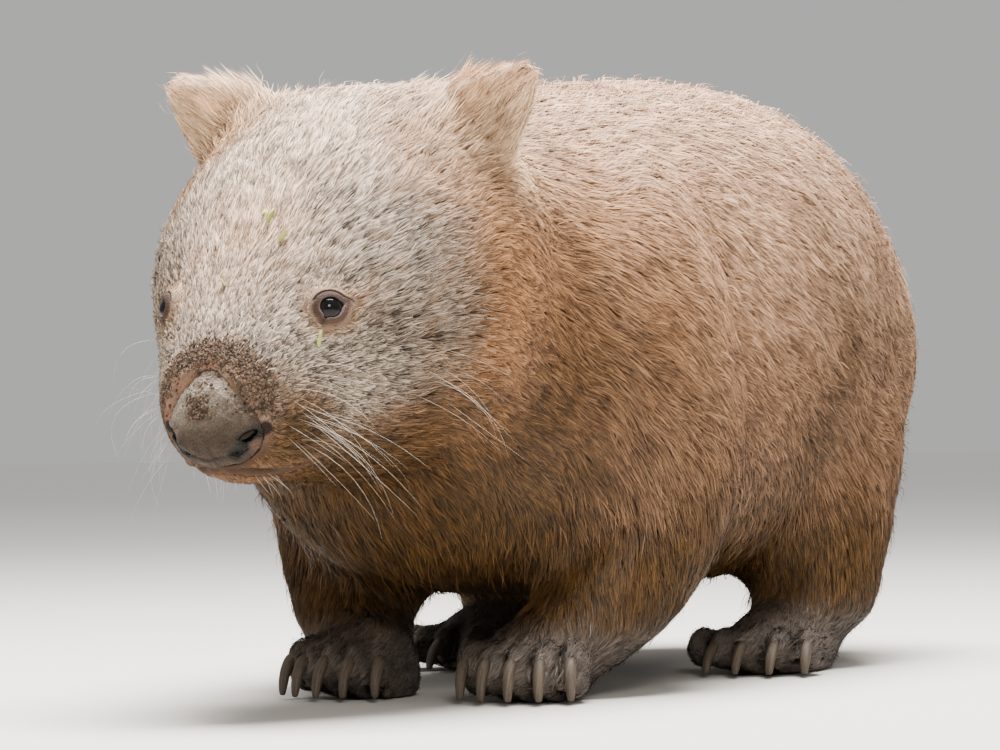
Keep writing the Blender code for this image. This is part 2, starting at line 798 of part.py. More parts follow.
def stand_at_origin(parts):
    """Moves every part so that the middle of the bounding box's base is the origin."""
    corners = [vert.co for obj in parts.objects for vert in obj.data.vertices]
    low = Vector(min(corner[axis] for corner in corners) for axis in range(3))
    high = Vector(max(corner[axis] for corner in corners) for axis in range(3))
    shift = Vector((-(low.x + high.x) / 2, -(low.y + high.y) / 2, -low.z))
    for obj in parts.objects:
        obj.data.transform(Matrix.Translation(shift))


def hide_tools(collection):
    for obj in collection.objects:
        obj.hide_render = True
        obj.display_type = "WIRE"


def main():
    clear_scene()
    parts = new_collection("wombat")
    cutters = new_collection("cutters")
    whole = flesh(cutters)
    for_head, for_paws, plain = (
        flattened_soles(thinned(name, whole, share, cutters), cutters)
        for name, share in (("for_head", HEAD_SHARE), ("for_paws", PAW_SHARE), ("plain", PLAIN_SHARE))
    )
    fore_names = ("shoulder", "foreleg", "forepaw")
    hind_names = ("thigh", "hindleg", "hindfoot")
    fore_blocks = (SHOULDER_BLOCK, ARM_BLOCK, FOREPAW_BLOCK)
    hind_blocks = (THIGH_BLOCK, SHANK_BLOCK, HINDFOOT_BLOCK)
    forepaws = make_limbs("fore", fore_blocks, fore_names, for_paws, plain, parts, cutters)
    hindpaws = make_limbs("hind", hind_blocks, hind_names, for_paws, plain, parts, cutters)
    head, rear = make_trunk(for_head, plain, parts, cutters)
    make_nose(head, parts, cutters)
    make_eyes(head, parts, cutters)
    make_mouth(head, cutters)
    make_ears(head, parts, cutters)
    make_claws(FOREPAW, forepaws, parts, cutters)
    make_claws(HINDPAW, hindpaws, parts, cutters)
    make_tail(rear, parts, cutters)
    stand_at_origin(parts)
    for obj in parts.objects:
        paint(obj)
    hide_tools(cutters)


if __name__ == "__main__":
    main()
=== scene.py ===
"""Looks of a life-size standing wombat: one skin, its coat, eyes, nose, claws and whiskers."""

import logging
import math
from collections.abc import Callable, Sequence
from dataclasses import dataclass, field
from enum import Enum

import bmesh
import bpy
import numpy as np
from mathutils import Matrix, Vector
from mathutils.bvhtree import BVHTree
from mathutils.kdtree import KDTree


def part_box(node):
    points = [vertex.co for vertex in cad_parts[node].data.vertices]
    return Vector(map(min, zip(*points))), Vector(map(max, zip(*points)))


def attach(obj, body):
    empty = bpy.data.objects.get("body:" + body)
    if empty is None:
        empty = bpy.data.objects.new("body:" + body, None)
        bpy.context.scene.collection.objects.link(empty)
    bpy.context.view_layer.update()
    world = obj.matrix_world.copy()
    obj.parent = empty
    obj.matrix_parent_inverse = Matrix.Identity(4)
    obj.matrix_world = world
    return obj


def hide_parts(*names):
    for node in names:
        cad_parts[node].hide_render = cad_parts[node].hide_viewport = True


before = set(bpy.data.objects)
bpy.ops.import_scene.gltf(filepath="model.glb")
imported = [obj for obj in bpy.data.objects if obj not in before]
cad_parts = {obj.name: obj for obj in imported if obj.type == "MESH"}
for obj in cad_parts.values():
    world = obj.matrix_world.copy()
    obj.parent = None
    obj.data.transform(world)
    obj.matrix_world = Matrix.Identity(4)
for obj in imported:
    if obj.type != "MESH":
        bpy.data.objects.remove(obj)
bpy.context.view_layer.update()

LOG = logging.getLogger("wombat")
BODY = "root"
MERGE = 1e-6

SIDES = ("left", "right")
TRUNK_NODES = ("torso", "hindquarters", "shoulder_left", "shoulder_right", "thigh_left", "thigh_right")
LEG_NODES = ("foreleg_left", "foreleg_right", "hindleg_left", "hindleg_right")
PAW_NODES = ("forepaw_left", "forepaw_right", "hindfoot_left", "hindfoot_right")
EAR_NODES = ("ear_left", "ear_right")
FLESH_NODES = ("head", "neck", "tail", *EAR_NODES, *TRUNK_NODES, *LEG_NODES, *PAW_NODES)
FILLER_NODES = ("nose", "eye_left", "eye_right")
FEET = {"fore": 5, "hind": 4}


def claw_names(foot: str, side: str) -> list[str]:
    """The CAD nodes of one foot's claws."""
    return [f"{foot}_claw_{side}_{number}" for number in range(1, FEET[foot] + 1)]


class Zone(Enum):
    """The parts of the coat that differ in length and lie."""

    FACE = 0
    CROWN = 1
    EAR = 2
    NECK = 3
    TRUNK = 4
    LEG = 5
    PAW = 6
    TAIL = 7
    FILLER = 8


class Gathering(Enum):
    """How a new mesh is smoothed before it is shown."""

    FLAT = 0
    SMOOTH = 1


def unit(rows: np.ndarray) -> np.ndarray:
    """Rows scaled to length one."""
    return rows / np.maximum(np.linalg.norm(rows, axis=-1, keepdims=True), 1e-12)


def ramp(values: np.ndarray, low: float, high: float) -> np.ndarray:
    """A smooth step from 0 at low to 1 at high.

    Args:
        values: The numbers to map.
        low: Where the step starts.
        high: Where the step ends; it may be below low.

    Returns:
        The mapped numbers.
    """
    share = np.clip((values - low) / (high - low), 0.0, 1.0)
    return share * share * (3.0 - 2.0 * share)


def bell(points: np.ndarray, centre: Sequence[float], radii: Sequence[float]) -> np.ndarray:
    """A soft spot that is 1 at its centre and fades at its radii."""
    away = (points - np.asarray(centre)) / np.asarray(radii)
    return np.exp(-(away**2).sum(axis=1))


def across(rows: np.ndarray, normals: np.ndarray) -> np.ndarray:
    """Rows laid into the surface that the normals stand on, at length one."""
    return unit(rows - (rows * normals).sum(axis=1, keepdims=True) * normals)


@dataclass(frozen=True)
class Ripple:
    """A smooth, repeatable wobble over space, made of a few crossed waves."""

    seed: int
    wavelength: float
    waves: int = 8

    def at(self, points: np.ndarray) -> np.ndarray:
        """The wobble at each point, mostly between -1 and 1."""
        rng = np.random.default_rng(self.seed)
        heading = unit(rng.normal(size=(self.waves, 3)))
        pace = 2.0 * math.pi / self.wavelength * rng.uniform(0.6, 1.5, (self.waves, 1))
        phase = rng.uniform(0.0, 2.0 * math.pi, self.waves)
        waves = np.sin(points @ (heading * pace).T + phase)
        return waves.sum(axis=1) / math.sqrt(2.0 * self.waves)


@dataclass(frozen=True)
class HeadRoll:
    """The slight roll of the head about the long axis of the body."""

    angle: float = math.radians(1.5)
    height: float = 0.27

    def turn(self, points: np.ndarray) -> np.ndarray:
        """Points given for a level head, moved to where the rolled head has them."""
        rows = np.atleast_2d(np.asarray(points, dtype=float))
        cos, sin = math.cos(self.angle), math.sin(self.angle)
        rise = rows[:, 2] - self.height
        return np.stack(
            [rows[:, 0] * cos + rise * sin, rows[:, 1], self.height - rows[:, 0] * sin + rise * cos], axis=1
        )


ROLL = HeadRoll()


def node_centre(name: str) -> np.ndarray:
    """The middle of a CAD node's box."""
    low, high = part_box(name)
    return np.array((low + high) / 2.0)


@dataclass(frozen=True)
class Landmarks:
    """Places on the head that several pieces are set from."""

    nose: np.ndarray
    eyes: tuple[np.ndarray, np.ndarray]
    outward: tuple[np.ndarray, np.ndarray]
    eye_radius: float
    mouth: np.ndarray

    @classmethod
    def read(cls) -> "Landmarks":
        """Landmarks taken from the CAD nodes and from the line of the mouth."""
        half = np.array(
            ((0.0, -0.4040, 0.1475), (0.011, -0.3990, 0.1465), (0.022, -0.3890, 0.1475),
             (0.031, -0.3770, 0.1510), (0.038, -0.3640, 0.1560))
        )
        line = np.concatenate([half[:0:-1] * (-1, 1, 1), half])
        low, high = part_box("eye_left")
        aims = []
        for side in (1, -1):
            tip = ROLL.turn((0.70 * side, -0.68, 0.22 + ROLL.height))[0]
            root = ROLL.turn((0.0, 0.0, ROLL.height))[0]
            aims.append(unit(tip - root))
        return cls(
            nose=node_centre("nose"),
            eyes=(node_centre("eye_left"), node_centre("eye_right")),
            outward=(aims[0], aims[1]),
            eye_radius=(high.z - low.z) / 2.0,
            mouth=ROLL.turn(line),
        )


@dataclass(frozen=True)
class EyeView:
    """Flat coordinates round one eye: back towards the ear, up, and out of the head."""

    centre: np.ndarray
    back: np.ndarray
    up: np.ndarray
    out: np.ndarray

    @classmethod
    def of(cls, centre: np.ndarray, out: np.ndarray) -> "EyeView":
        """The coordinates round an eye that looks along out."""
        up = unit(np.array((0.0, 0.0, 1.0)) - out[2] * out)
        back = unit(np.array((0.0, 1.0, 0.0)) - out[1] * out)
        back = unit(back - (back @ up) * up)
        return cls(centre, back, up, out)

    def flat(self, points: np.ndarray) -> tuple[np.ndarray, np.ndarray, np.ndarray]:
        """Each point's places along back, up and out."""
        away = points - self.centre
        return away @ self.back, away @ self.up, away @ self.out


@dataclass(frozen=True)
class LidShape:
    """The opening between the lids and the folds round it."""

    half_length: float = 0.0065
    upper_height: float = 0.0057
    lower_height: float = 0.0062
    inner_corner: float = 0.0012
    outer_corner: float = 0.0018
    inner_angle: float = math.radians(240)
    outer_angle: float = math.radians(14)
    inner_spread: float = 0.20
    outer_spread: float = 0.24
    lip_rise: float = 0.0009
    sunk: float = 0.0022
    crease: float = 1.66

    def reach(self, angle: np.ndarray) -> np.ndarray:
        """How far the opening reaches at each angle, from back towards up."""
        height = np.where(np.sin(angle) > 0.0, self.upper_height, self.lower_height)
        oval = 1.0 / np.sqrt((np.cos(angle) / self.half_length) ** 2 + (np.sin(angle) / height) ** 2)
        inner = np.angle(np.exp(1j * (angle - self.inner_angle)))
        outer = np.angle(np.exp(1j * (angle - self.outer_angle)))
        corners = self.inner_corner * np.exp(-((inner / self.inner_spread) ** 2))
        return oval + corners + self.outer_corner * np.exp(-((outer / self.outer_spread) ** 2))

    def share(self, view: EyeView, points: np.ndarray) -> np.ndarray:
        """Each point's distance from the eye's axis, as a share of the opening's reach there."""
        back, up, _ = view.flat(points)
        return np.hypot(back, up) / self.reach(np.arctan2(up, back))

    def duct(self, view: EyeView, points: np.ndarray) -> np.ndarray:
        """1 along the short crease that runs down from the inner corner."""
        back, up, _ = view.flat(points)
        apart = np.angle(np.exp(1j * (np.arctan2(up, back) - self.inner_angle)))
        share = self.share(view, points)
        return np.exp(-((apart / 0.11) ** 2)) * ramp(share, 0.9, 1.0) * (1.0 - ramp(share, 1.25, 1.60))

    def fold(self, view: EyeView, points: np.ndarray) -> np.ndarray:
        """1 along the crease over the upper lid, which runs on past the outer corner."""
        back, up, _ = view.flat(points)
        angle = np.arctan2(up, back)
        above = ramp(angle, 0.05, 0.35) * (1.0 - ramp(angle, 2.6, 3.0))
        path = self.crease + 0.25 * np.exp(-((angle / 0.45) ** 2))
        return above * np.exp(-(((self.share(view, points) - path) / 0.10) ** 2))


LIDS = LidShape()


def line_distance(points: np.ndarray, line: np.ndarray) -> np.ndarray:
    """Each point's distance to a chain of straight lengths."""
    best = np.full(len(points), np.inf)
    for start, end in zip(line[:-1], line[1:]):
        along = end - start
        share = np.clip((points - start) @ along / (along @ along), 0.0, 1.0)
        best = np.minimum(best, np.linalg.norm(points - start - share[:, None] * along, axis=1))
    return best


class PadGauge:
    """Measures how far places lie from the surface of the nose pad's node."""

    def __init__(self, marks: Landmarks) -> None:
        """Keeps a search tree of the pad."""
        self.marks = marks
        pad = copied_node("nose")
        self.tree = BVHTree.FromBMesh(pad)
        pad.free()

    def gap(self, points: np.ndarray) -> np.ndarray:
        """Each place's distance outside the pad, less than zero inside it, and 1 far away."""
        rows = np.ones(len(points))
        for index in np.nonzero(np.linalg.norm(points - self.marks.nose, axis=1) < 0.055)[0]:
            spot = Vector(points[index])
            place, normal, _, away = self.tree.find_nearest(spot)
            rows[index] = math.copysign(away, (spot - place).dot(normal))
        return rows


NOSTRIL = (
    (0.0330, -0.4060, 0.1722), (0.0270, -0.4110, 0.1688), (0.0216, -0.4159, 0.1650),
    (0.0212, -0.4150, 0.1612), (0.0160, -0.4150, 0.1568),
)
NOSTRIL_FLAT = (1.0, 0.14, 1.0)


class Markings:
    """Where each colour and each bare place of the animal lies, as functions of the place."""

    # Painted shade: dark patches in the folds of the thigh, flank, neck, shoulder and rump.
    shadows = (
        ((0.170, 0.140, 0.225), (0.050, 0.026, 0.060), 0.60), ((0.160, 0.105, 0.160), (0.050, 0.028, 0.042), 0.60),
        ((0.150, 0.072, 0.122), (0.050, 0.034, 0.034), 0.55), ((0.160, -0.085, 0.115), (0.050, 0.036, 0.040), 0.45),
        ((0.100, -0.222, 0.160), (0.040, 0.034, 0.052), 0.85), ((0.120, -0.185, 0.215), (0.040, 0.030, 0.050), 0.60),
        ((0.150, -0.120, 0.215), (0.040, 0.040, 0.050), 0.28), ((0.165, 0.230, 0.220), (0.050, 0.050, 0.090), 0.28),
    )
    mask_heights = (0.150, 0.175, 0.200, 0.230, 0.270, 0.310)
    mask_edges = (-0.366, -0.338, -0.314, -0.300, -0.307, -0.314)

    def __init__(self, marks: Landmarks) -> None:
        """Keeps the landmarks that the markings are set from."""
        self.marks = marks
        self.drift = Ripple(seed=11, wavelength=0.055)
        self.patch = Ripple(seed=12, wavelength=0.14)
        self.speck = Ripple(seed=13, wavelength=0.012)

    def head(self, points: np.ndarray) -> np.ndarray:
        """1 on the head, fading over the back of the cheeks and the nape."""
        return 1.0 - ramp(points[:, 1] + 0.004 * self.drift.at(points), -0.262, -0.212)

    def grey(self, points: np.ndarray) -> np.ndarray:
        """The grey-taupe mask over forehead, brow and cheeks, narrow between the ears."""
        side, y, z = np.abs(points[:, 0]), points[:, 1], points[:, 2]
        wave = 0.008 * self.drift.at(points) + 0.007 * self.speck.at(points)
        edge = np.interp(z, self.mask_heights, self.mask_edges)
        cheek = 1.0 - ramp(y - edge + wave, -0.026, 0.026)
        crown = 1.0 - ramp(side - 0.032 - 0.71 * np.maximum(0.362 - z, 0.0) + wave, -0.016, 0.020)
        mask = cheek + (crown - cheek) * ramp(z, 0.296, 0.318)
        below = ramp(z + wave, 0.150, 0.186)
        bare = (1.0 - 0.8 * self.muzzle(points)) * (1.0 - 0.62 * self.ring(points))
        return 0.94 * mask * below * self.head(points) * bare

    def ring(self, points: np.ndarray) -> np.ndarray:
        """1 in the narrow ring of warm hair round each eye."""
        total = np.zeros(len(points))
        for centre, out in zip(self.marks.eyes, self.marks.outward):
            view = EyeView.of(centre, out)
            near = (points - centre) @ out > -0.004
            total = np.maximum(total, (1.0 - ramp(LIDS.share(view, points), 2.3, 3.3)) * near)
        return total

    def tan(self, points: np.ndarray) -> np.ndarray:
        """The warm cream of the ears and the sides of the crown."""
        total = 0.20 * self.crown_side(points)
        for name in EAR_NODES:
            middle = node_centre(name)
            ear = 2.2 * bell(points, middle * (1.10, 1.0, 1.03), (0.044, 0.040, 0.040))
            total = np.maximum(total, np.minimum(ear, 1.0))
        total = np.maximum(total, 0.10 * self.ring(points))
        return np.clip(total * (1.0 + 0.15 * self.speck.at(points)), 0.0, 1.0)

    def rufous(self, points: np.ndarray) -> np.ndarray:
        """The orange of the cheek's edge, the neck, and the shoulder and fore back."""
        cheek = ramp(points[:, 1], -0.375, -0.300) * (1.0 - ramp(points[:, 1], -0.262, -0.190))
        cheek *= 1.0 - 0.6 * ramp(points[:, 2], 0.28, 0.34)
        fore = (1.0 - ramp(points[:, 1], -0.10, 0.16)) * ramp(points[:, 2], 0.13, 0.24)
        body = 0.62 * fore * (0.85 + 0.30 * self.patch.at(points))
        folded = np.column_stack([np.abs(points[:, 0]), points[:, 1:]])
        nape = 1.1 * bell(folded, (0.105, -0.140, 0.310), (0.050, 0.075, 0.065))
        body = np.maximum(body, nape)
        warm = np.maximum(np.maximum(cheek, body), 0.55 * self.crown_side(points)) * (1.0 - self.grey(points))
        return np.clip(np.maximum(warm, 0.6 * self.muzzle(points)), 0.0, 1.0)

    def crown_side(self, points: np.ndarray) -> np.ndarray:
        """1 on the sides of the crown, in front of the ears."""
        total = np.zeros(len(points))
        for name in EAR_NODES:
            spot = node_centre(name) * (0.86, 1.0, 1.0) - (0.0, 0.022, 0.010)
            total = np.maximum(total, 1.5 * bell(points, spot, (0.058, 0.072, 0.050)))
        return np.minimum(total, 1.0)

    def muzzle(self, points: np.ndarray) -> np.ndarray:
        """The short warm hair on the sides of the muzzle, behind the bare ring."""
        folded = np.column_stack([np.abs(points[:, 0]), points[:, 1:]])
        return np.clip(1.3 * bell(folded, (0.042, -0.388, 0.172), (0.016, 0.022, 0.022)), 0.0, 1.0)

    def dark(self, points: np.ndarray) -> np.ndarray:
        """The umber of the legs, the chest and the underside, with painted shade in the body's folds, on the cheeks
        and at the ears' bases.
        """
        wave = 0.012 * self.drift.at(points)
        low = 1.0 - ramp(points[:, 2] + wave, 0.085, 0.165)
        chest = (1.0 - ramp(points[:, 2] + wave, 0.135, 0.215)) * (1.0 - ramp(points[:, 1], -0.19, -0.11))
        throat = 0.95 * (1.0 - ramp(points[:, 2] + wave, 0.164, 0.222)) * ramp(points[:, 1], -0.392, -0.345)
        folded = np.column_stack([np.abs(points[:, 0]), points[:, 1:]])
        # Painted shade on the cheek below and behind each eye.
        cheek = 0.62 * bell(folded, (0.090, -0.330, 0.222), (0.030, 0.050, 0.040))
        snout = 1.10 * bell(folded, (0.040, -0.388, 0.165), (0.028, 0.036, 0.030))
        # Painted shade at the base of each ear, under its tip.
        behind = 0.34 * bell(folded, (0.104, -0.256, 0.342), (0.024, 0.030, 0.024))
        # Painted shade in the folds of the body, from the shadows patches.
        shadow = sum(weight * bell(folded, centre, radii) for centre, radii, weight in self.shadows)
        head = self.head(points)
        body = np.maximum(np.maximum(low, chest), shadow + 0.10 * self.speck.at(points) * (shadow > 0.1))
        return np.clip(body * (1.0 - head) + np.maximum(throat, cheek + snout + behind) * head, 0.0, 1.0)

    def paw(self, points: np.ndarray) -> np.ndarray:
        """The grey-black of the feet."""
        return 1.0 - ramp(points[:, 2], 0.030, 0.062)

    def pale_tips_and_highlight(self, points: np.ndarray) -> np.ndarray:
        """Paler tips over the back's top and the crown, partly real and partly painted highlight from above, with a
        painted highlight spot on the brow.
        """
        # Paler towards the top: partly pale tips, partly painted highlight from the overhead light.
        high = ramp(points[:, 2], 0.27, 0.40)
        flank = 0.62 * ramp(points[:, 2], 0.12, 0.34) * ramp(points[:, 1], -0.17, -0.04)
        worn = np.maximum(high, flank) * (0.9 + 0.35 * self.patch.at(points))
        folded = np.column_stack([np.abs(points[:, 0]), points[:, 1:]])
        tips = 1.3 * bell(folded, (0.122, -0.256, 0.388), (0.021, 0.028, 0.019))
        # Painted highlight: a pale spot on the brow.
        worn = np.maximum(worn, 0.8 * bell(points, (-0.005, -0.362, 0.285), (0.045, 0.050, 0.050)))
        crown = 1.0 - 0.85 * self.crown_side(points)
        return np.clip(np.maximum(worn * (1.0 - 0.8 * self.tan(points)) * crown, tips), 0.0, 1.0)

    def bare(self, points: np.ndarray) -> np.ndarray:
        """Skin with no coat: round the nose pad, the lips, the lids and the corners of the eyes."""
        nose = 1.0 - ramp(self.past_pad(points), -0.0030, 0.0050)
        lips = 1.0 - ramp(line_distance(points, self.marks.mouth), 0.0030, 0.0070)
        total = np.maximum(nose, lips)
        for centre, out in zip(self.marks.eyes, self.marks.outward):
            view = EyeView.of(centre, out)
            near = (points - centre) @ out > 0.0
            ring = 1.0 - ramp(LIDS.share(view, points), 1.70, 2.55)
            total = np.maximum(total, ring * near)
        return total

    def past_pad(self, points: np.ndarray) -> np.ndarray:
        """How far each place lies outside the bare ring round the nose pad."""
        gap = points - self.marks.nose
        reach = np.linalg.norm(gap * (0.95, 0.85, 1.0), axis=1) + 0.0014 * self.drift.at(points * 3.0)
        return reach - (0.0335 + 0.0065 * ramp(gap[:, 2], -0.006, 0.026))

    def wet(self, points: np.ndarray) -> np.ndarray:
        """The dark folds, painted shade in creases and recesses: the lips' line, inside each lid, the creases over
        and below each eye, the hollow under the brow, the nostril slits.
        """
        total = 0.75 * (1.0 - ramp(line_distance(points, self.marks.mouth), 0.0006, 0.0022))
        for centre, out in zip(self.marks.eyes, self.marks.outward):
            view = EyeView.of(centre, out)
            near = (points - centre) @ out > 0.0
            share = LIDS.share(view, points)
            inner = 1.0 - ramp(share, 0.94, 1.02)
            crease = np.maximum(0.72 * LIDS.fold(view, points), 0.85 * LIDS.duct(view, points))
            # Painted shade in the hollow under the brow, over the upper lid.
            above = ramp(view.flat(points)[1] - 0.5 * view.flat(points)[0], -0.004, 0.003)
            hollow = 0.55 * np.exp(-(((share - 1.42) / 0.34) ** 2)) * above
            total = np.maximum(total, np.maximum(np.maximum(inner, hollow), crease) * near)
        for sign in (1, -1):
            slit = ROLL.turn(np.array(NOSTRIL) * (sign, 1, 1)) * NOSTRIL_FLAT
            total = np.maximum(total, 1.0 - ramp(line_distance(points * NOSTRIL_FLAT, slit), 0.0026, 0.0042))
        return total

    def lid(self, points: np.ndarray) -> np.ndarray:
        """1 at the rim of each eye's opening, falling to 0 where the face's coat starts."""
        total = np.zeros(len(points))
        for centre, out in zip(self.marks.eyes, self.marks.outward):
            view = EyeView.of(centre, out)
            near = (points - centre) @ out > 0.0
            fall = np.clip((2.8 - LIDS.share(view, points)) / 1.8, 0.0, 1.0)
            total = np.maximum(total, fall * near)
        return total

    def soiled(self, points: np.ndarray) -> np.ndarray:
        """The band of damp soil over the top and the left of the nose pad."""
        gap = points - self.marks.nose
        band = np.exp(-(((self.past_pad(points) + 0.0020) / 0.0050) ** 2))
        over = ramp(gap[:, 2] + 0.35 * gap[:, 0], -0.010, 0.012)
        return np.clip(band * over * (0.85 + 0.35 * self.speck.at(points)), 0.0, 1.0)

    def three(self, points: np.ndarray) -> tuple[np.ndarray, np.ndarray, np.ndarray]:
        """The three attribute vectors that the finishes read: warm, cool and bare marks."""
        warm = np.stack([self.rufous(points), self.tan(points), self.pale_tips_and_highlight(points)], axis=1)
        cool = np.stack([self.grey(points), self.dark(points), self.paw(points)], axis=1)
        naked = np.stack([self.bare(points), self.wet(points), self.lid(points)], axis=1)
        return warm, cool, naked


class Lie:
    """The direction in which the coat lies at each place."""

    def __init__(self, marks: Landmarks) -> None:
        """Keeps the landmarks that the lie parts round."""
        self.marks = marks
        self.swirl = Ripple(seed=21, wavelength=0.060)
        self.fine = Ripple(seed=22, wavelength=0.018)

    def at(self, points: np.ndarray, normals: np.ndarray, ears: np.ndarray) -> np.ndarray:
        """The lie at each place.

        Args:
            points: Places on the skin.
            normals: The skin's normals there.
            ears: 1 on the ears.

        Returns:
            Directions in the skin's surface, at length one.
        """
        side = np.sign(points[:, 0])
        y, z = points[:, 1], points[:, 2]
        flow = np.zeros_like(points)
        flow[:, 1] = 1.0
        flow[:, 2] = -0.50 * ramp(np.abs(normals[:, 0]), 0.25, 0.95)
        head = 1.0 - ramp(y, -0.275, -0.205)
        crown = unit(points - (self.marks.nose + (0.0, -0.045, -0.004)))
        crown = crown + np.array((0.0, 0.55, 0.0))
        crown[:, 2] -= 0.55 * ramp(y, -0.34, -0.25) * (1.0 - ramp(z, 0.27, 0.33))
        flow += (crown - flow) * head[:, None]
        chest = ramp(-normals[:, 1], 0.35, 0.80) * (1.0 - ramp(z, 0.17, 0.24)) * (1.0 - head) * (y < 0.0)
        down = np.stack([0.25 * side, np.full(len(y), 0.10), np.full(len(y), -1.0)], axis=1)
        flow += (down - flow) * chest[:, None]
        rump = ramp(y, 0.28, 0.40)
        fall = np.stack([np.zeros(len(y)), np.full(len(y), 0.12), np.full(len(y), -1.0)], axis=1)
        flow += (fall - flow) * rump[:, None]
        leg = (1.0 - ramp(z, 0.085, 0.175)) * (1.0 - head)
        slope = np.stack([np.zeros(len(y)), np.full(len(y), 0.22), np.full(len(y), -1.0)], axis=1)
        flow += (slope - flow) * leg[:, None]
        paw = 1.0 - ramp(z, 0.030, 0.060)
        ahead = np.stack([0.05 * side, np.full(len(y), -0.90), np.full(len(y), -0.45)], axis=1)
        flow += (ahead - flow) * paw[:, None]
        for index, name in enumerate(EAR_NODES):
            sign = 1 - 2 * index
            tip = np.array((0.060 * sign, -0.014, 0.054))
            near = ears * (side == sign)
            flow += (tip * 16.0 - flow) * near[:, None]
        flow = across(flow, normals)
        for centre, out in zip(self.marks.eyes, self.marks.outward):
            view = EyeView.of(centre, out)
            near = 0.50 * (1.0 - ramp(LIDS.share(view, points), 1.6, 3.2))
            near *= (points - centre) @ out > -0.01
            flow = across(flow + across(points - centre, normals) * (1.3 * near)[:, None], normals)
        turn = 0.20 * self.swirl.at(points) + 0.16 * self.fine.at(points)
        return unit(flow + np.cross(normals, flow) * turn[:, None])


@dataclass(frozen=True)
class CoatStyle:
    """The size and lie of the tufts of one zone."""

    length: float
    width: float
    lift: float
    density: float
    clump: float
    depth: float

    def row(self) -> tuple[float, ...]:
        """The sizes in a fixed order, for blending between zones."""
        return (self.length, self.width, self.lift, self.density, self.clump, self.depth)


STYLES: dict[Zone, CoatStyle] = {
    Zone.FACE: CoatStyle(0.0086, 0.00050, 0.27, 2.10, 0.60, 0.0014),
    Zone.CROWN: CoatStyle(0.0140, 0.00058, 0.30, 1.35, 0.56, 0.0028),
    Zone.EAR: CoatStyle(0.0125, 0.00048, 0.40, 1.90, 0.45, 0.0012),
    Zone.NECK: CoatStyle(0.0195, 0.00066, 0.30, 0.86, 0.42, 0.0052),
    Zone.TRUNK: CoatStyle(0.0215, 0.00066, 0.26, 0.62, 0.40, 0.0056),
    Zone.LEG: CoatStyle(0.0165, 0.00068, 0.28, 0.84, 0.50, 0.0036),
    Zone.PAW: CoatStyle(0.0110, 0.00048, 0.28, 1.80, 0.25, 0.0014),
    Zone.TAIL: CoatStyle(0.0100, 0.00070, 0.35, 1.00, 0.20, 0.0016),
    Zone.FILLER: CoatStyle(0.0050, 0.00050, 0.30, 0.00, 0.10, 0.0008),
}


class Web:
    """The neighbours of each vertex of a mesh, for averaging values over it."""

    def __init__(self, edges: np.ndarray, count: int) -> None:
        """Keeps both ends of every edge and how many neighbours each vertex has."""
        self.here = np.concatenate([edges[:, 0], edges[:, 1]])
        self.there = np.concatenate([edges[:, 1], edges[:, 0]])
        self.count = count
        self.degree = np.maximum(np.bincount(self.here, minlength=count), 1)

    def eased(self, values: np.ndarray, rounds: int, share: float = 0.5) -> np.ndarray:
        """Values moved towards their neighbours' mean.

        Args:
            values: One row for each vertex.
            rounds: How many times the step is made.
            share: How far each step goes.

        Returns:
            The eased rows.
        """
        rows = np.array(values, dtype=float)
        for _ in range(rounds):
            for column in range(rows.shape[1]):
                mean = np.bincount(self.here, rows[self.there, column], self.count) / self.degree
                rows[:, column] += share * (mean - rows[:, column])
        return rows


def read_vertices(mesh: bpy.types.Mesh) -> np.ndarray:
    """The places of a mesh's vertices."""
    flat = np.empty(len(mesh.vertices) * 3)
    mesh.vertices.foreach_get("co", flat)
    return flat.reshape(-1, 3)


def write_vertices(mesh: bpy.types.Mesh, places: np.ndarray) -> None:
    """Moves a mesh's vertices."""
    mesh.vertices.foreach_set("co", np.ascontiguousarray(places, dtype=np.float32).ravel())
    mesh.update()


def read_normals(mesh: bpy.types.Mesh) -> np.ndarray:
    """The normals of a mesh's vertices."""
    flat = np.empty(len(mesh.vertices) * 3, dtype=np.float32)
    mesh.vertex_normals.foreach_get("vector", flat)
    return flat.reshape(-1, 3).astype(float)


def read_edges(mesh: bpy.types.Mesh) -> np.ndarray:
    """The vertex pairs of a mesh's edges."""
    flat = np.empty(len(mesh.edges) * 2, dtype=np.int32)
    mesh.edges.foreach_get("vertices", flat)
    return flat.reshape(-1, 2)


def read_triangles(mesh: bpy.types.Mesh) -> np.ndarray:
    """The corners of a mesh's triangles."""
    mesh.calc_loop_triangles()
    flat = np.empty(len(mesh.loop_triangles) * 3, dtype=np.int32)
    mesh.loop_triangles.foreach_get("vertices", flat)
    return flat.reshape(-1, 3)


def add_vectors(mesh: bpy.types.Mesh, name: str, rows: np.ndarray) -> None:
    """Stores one vector for each vertex of a mesh, for its finish to read."""
    layer = mesh.attributes.new(name, "FLOAT_VECTOR", "POINT")
    layer.data.foreach_set("vector", np.ascontiguousarray(rows, dtype=np.float32).ravel())


def new_object(name: str, mesh: bpy.types.Mesh, gathering: Gathering = Gathering.SMOOTH) -> bpy.types.Object:
    """An object at the origin for a mesh whose place is in its vertices."""
    mesh.shade_smooth() if gathering is Gathering.SMOOTH else mesh.shade_flat()
    made = bpy.data.objects.new(name, mesh)
    bpy.context.scene.collection.objects.link(made)
    return made


def settled(obj: bpy.types.Object) -> bpy.types.Object:
    """The object with its modifiers applied to its mesh."""
    graph = bpy.context.evaluated_depsgraph_get()
    graph.update()
    mesh = bpy.data.meshes.new_from_object(obj.evaluated_get(graph), depsgraph=graph)
    old = obj.data
    obj.modifiers.clear()
    obj.data = mesh
    bpy.data.meshes.remove(old)
    return obj


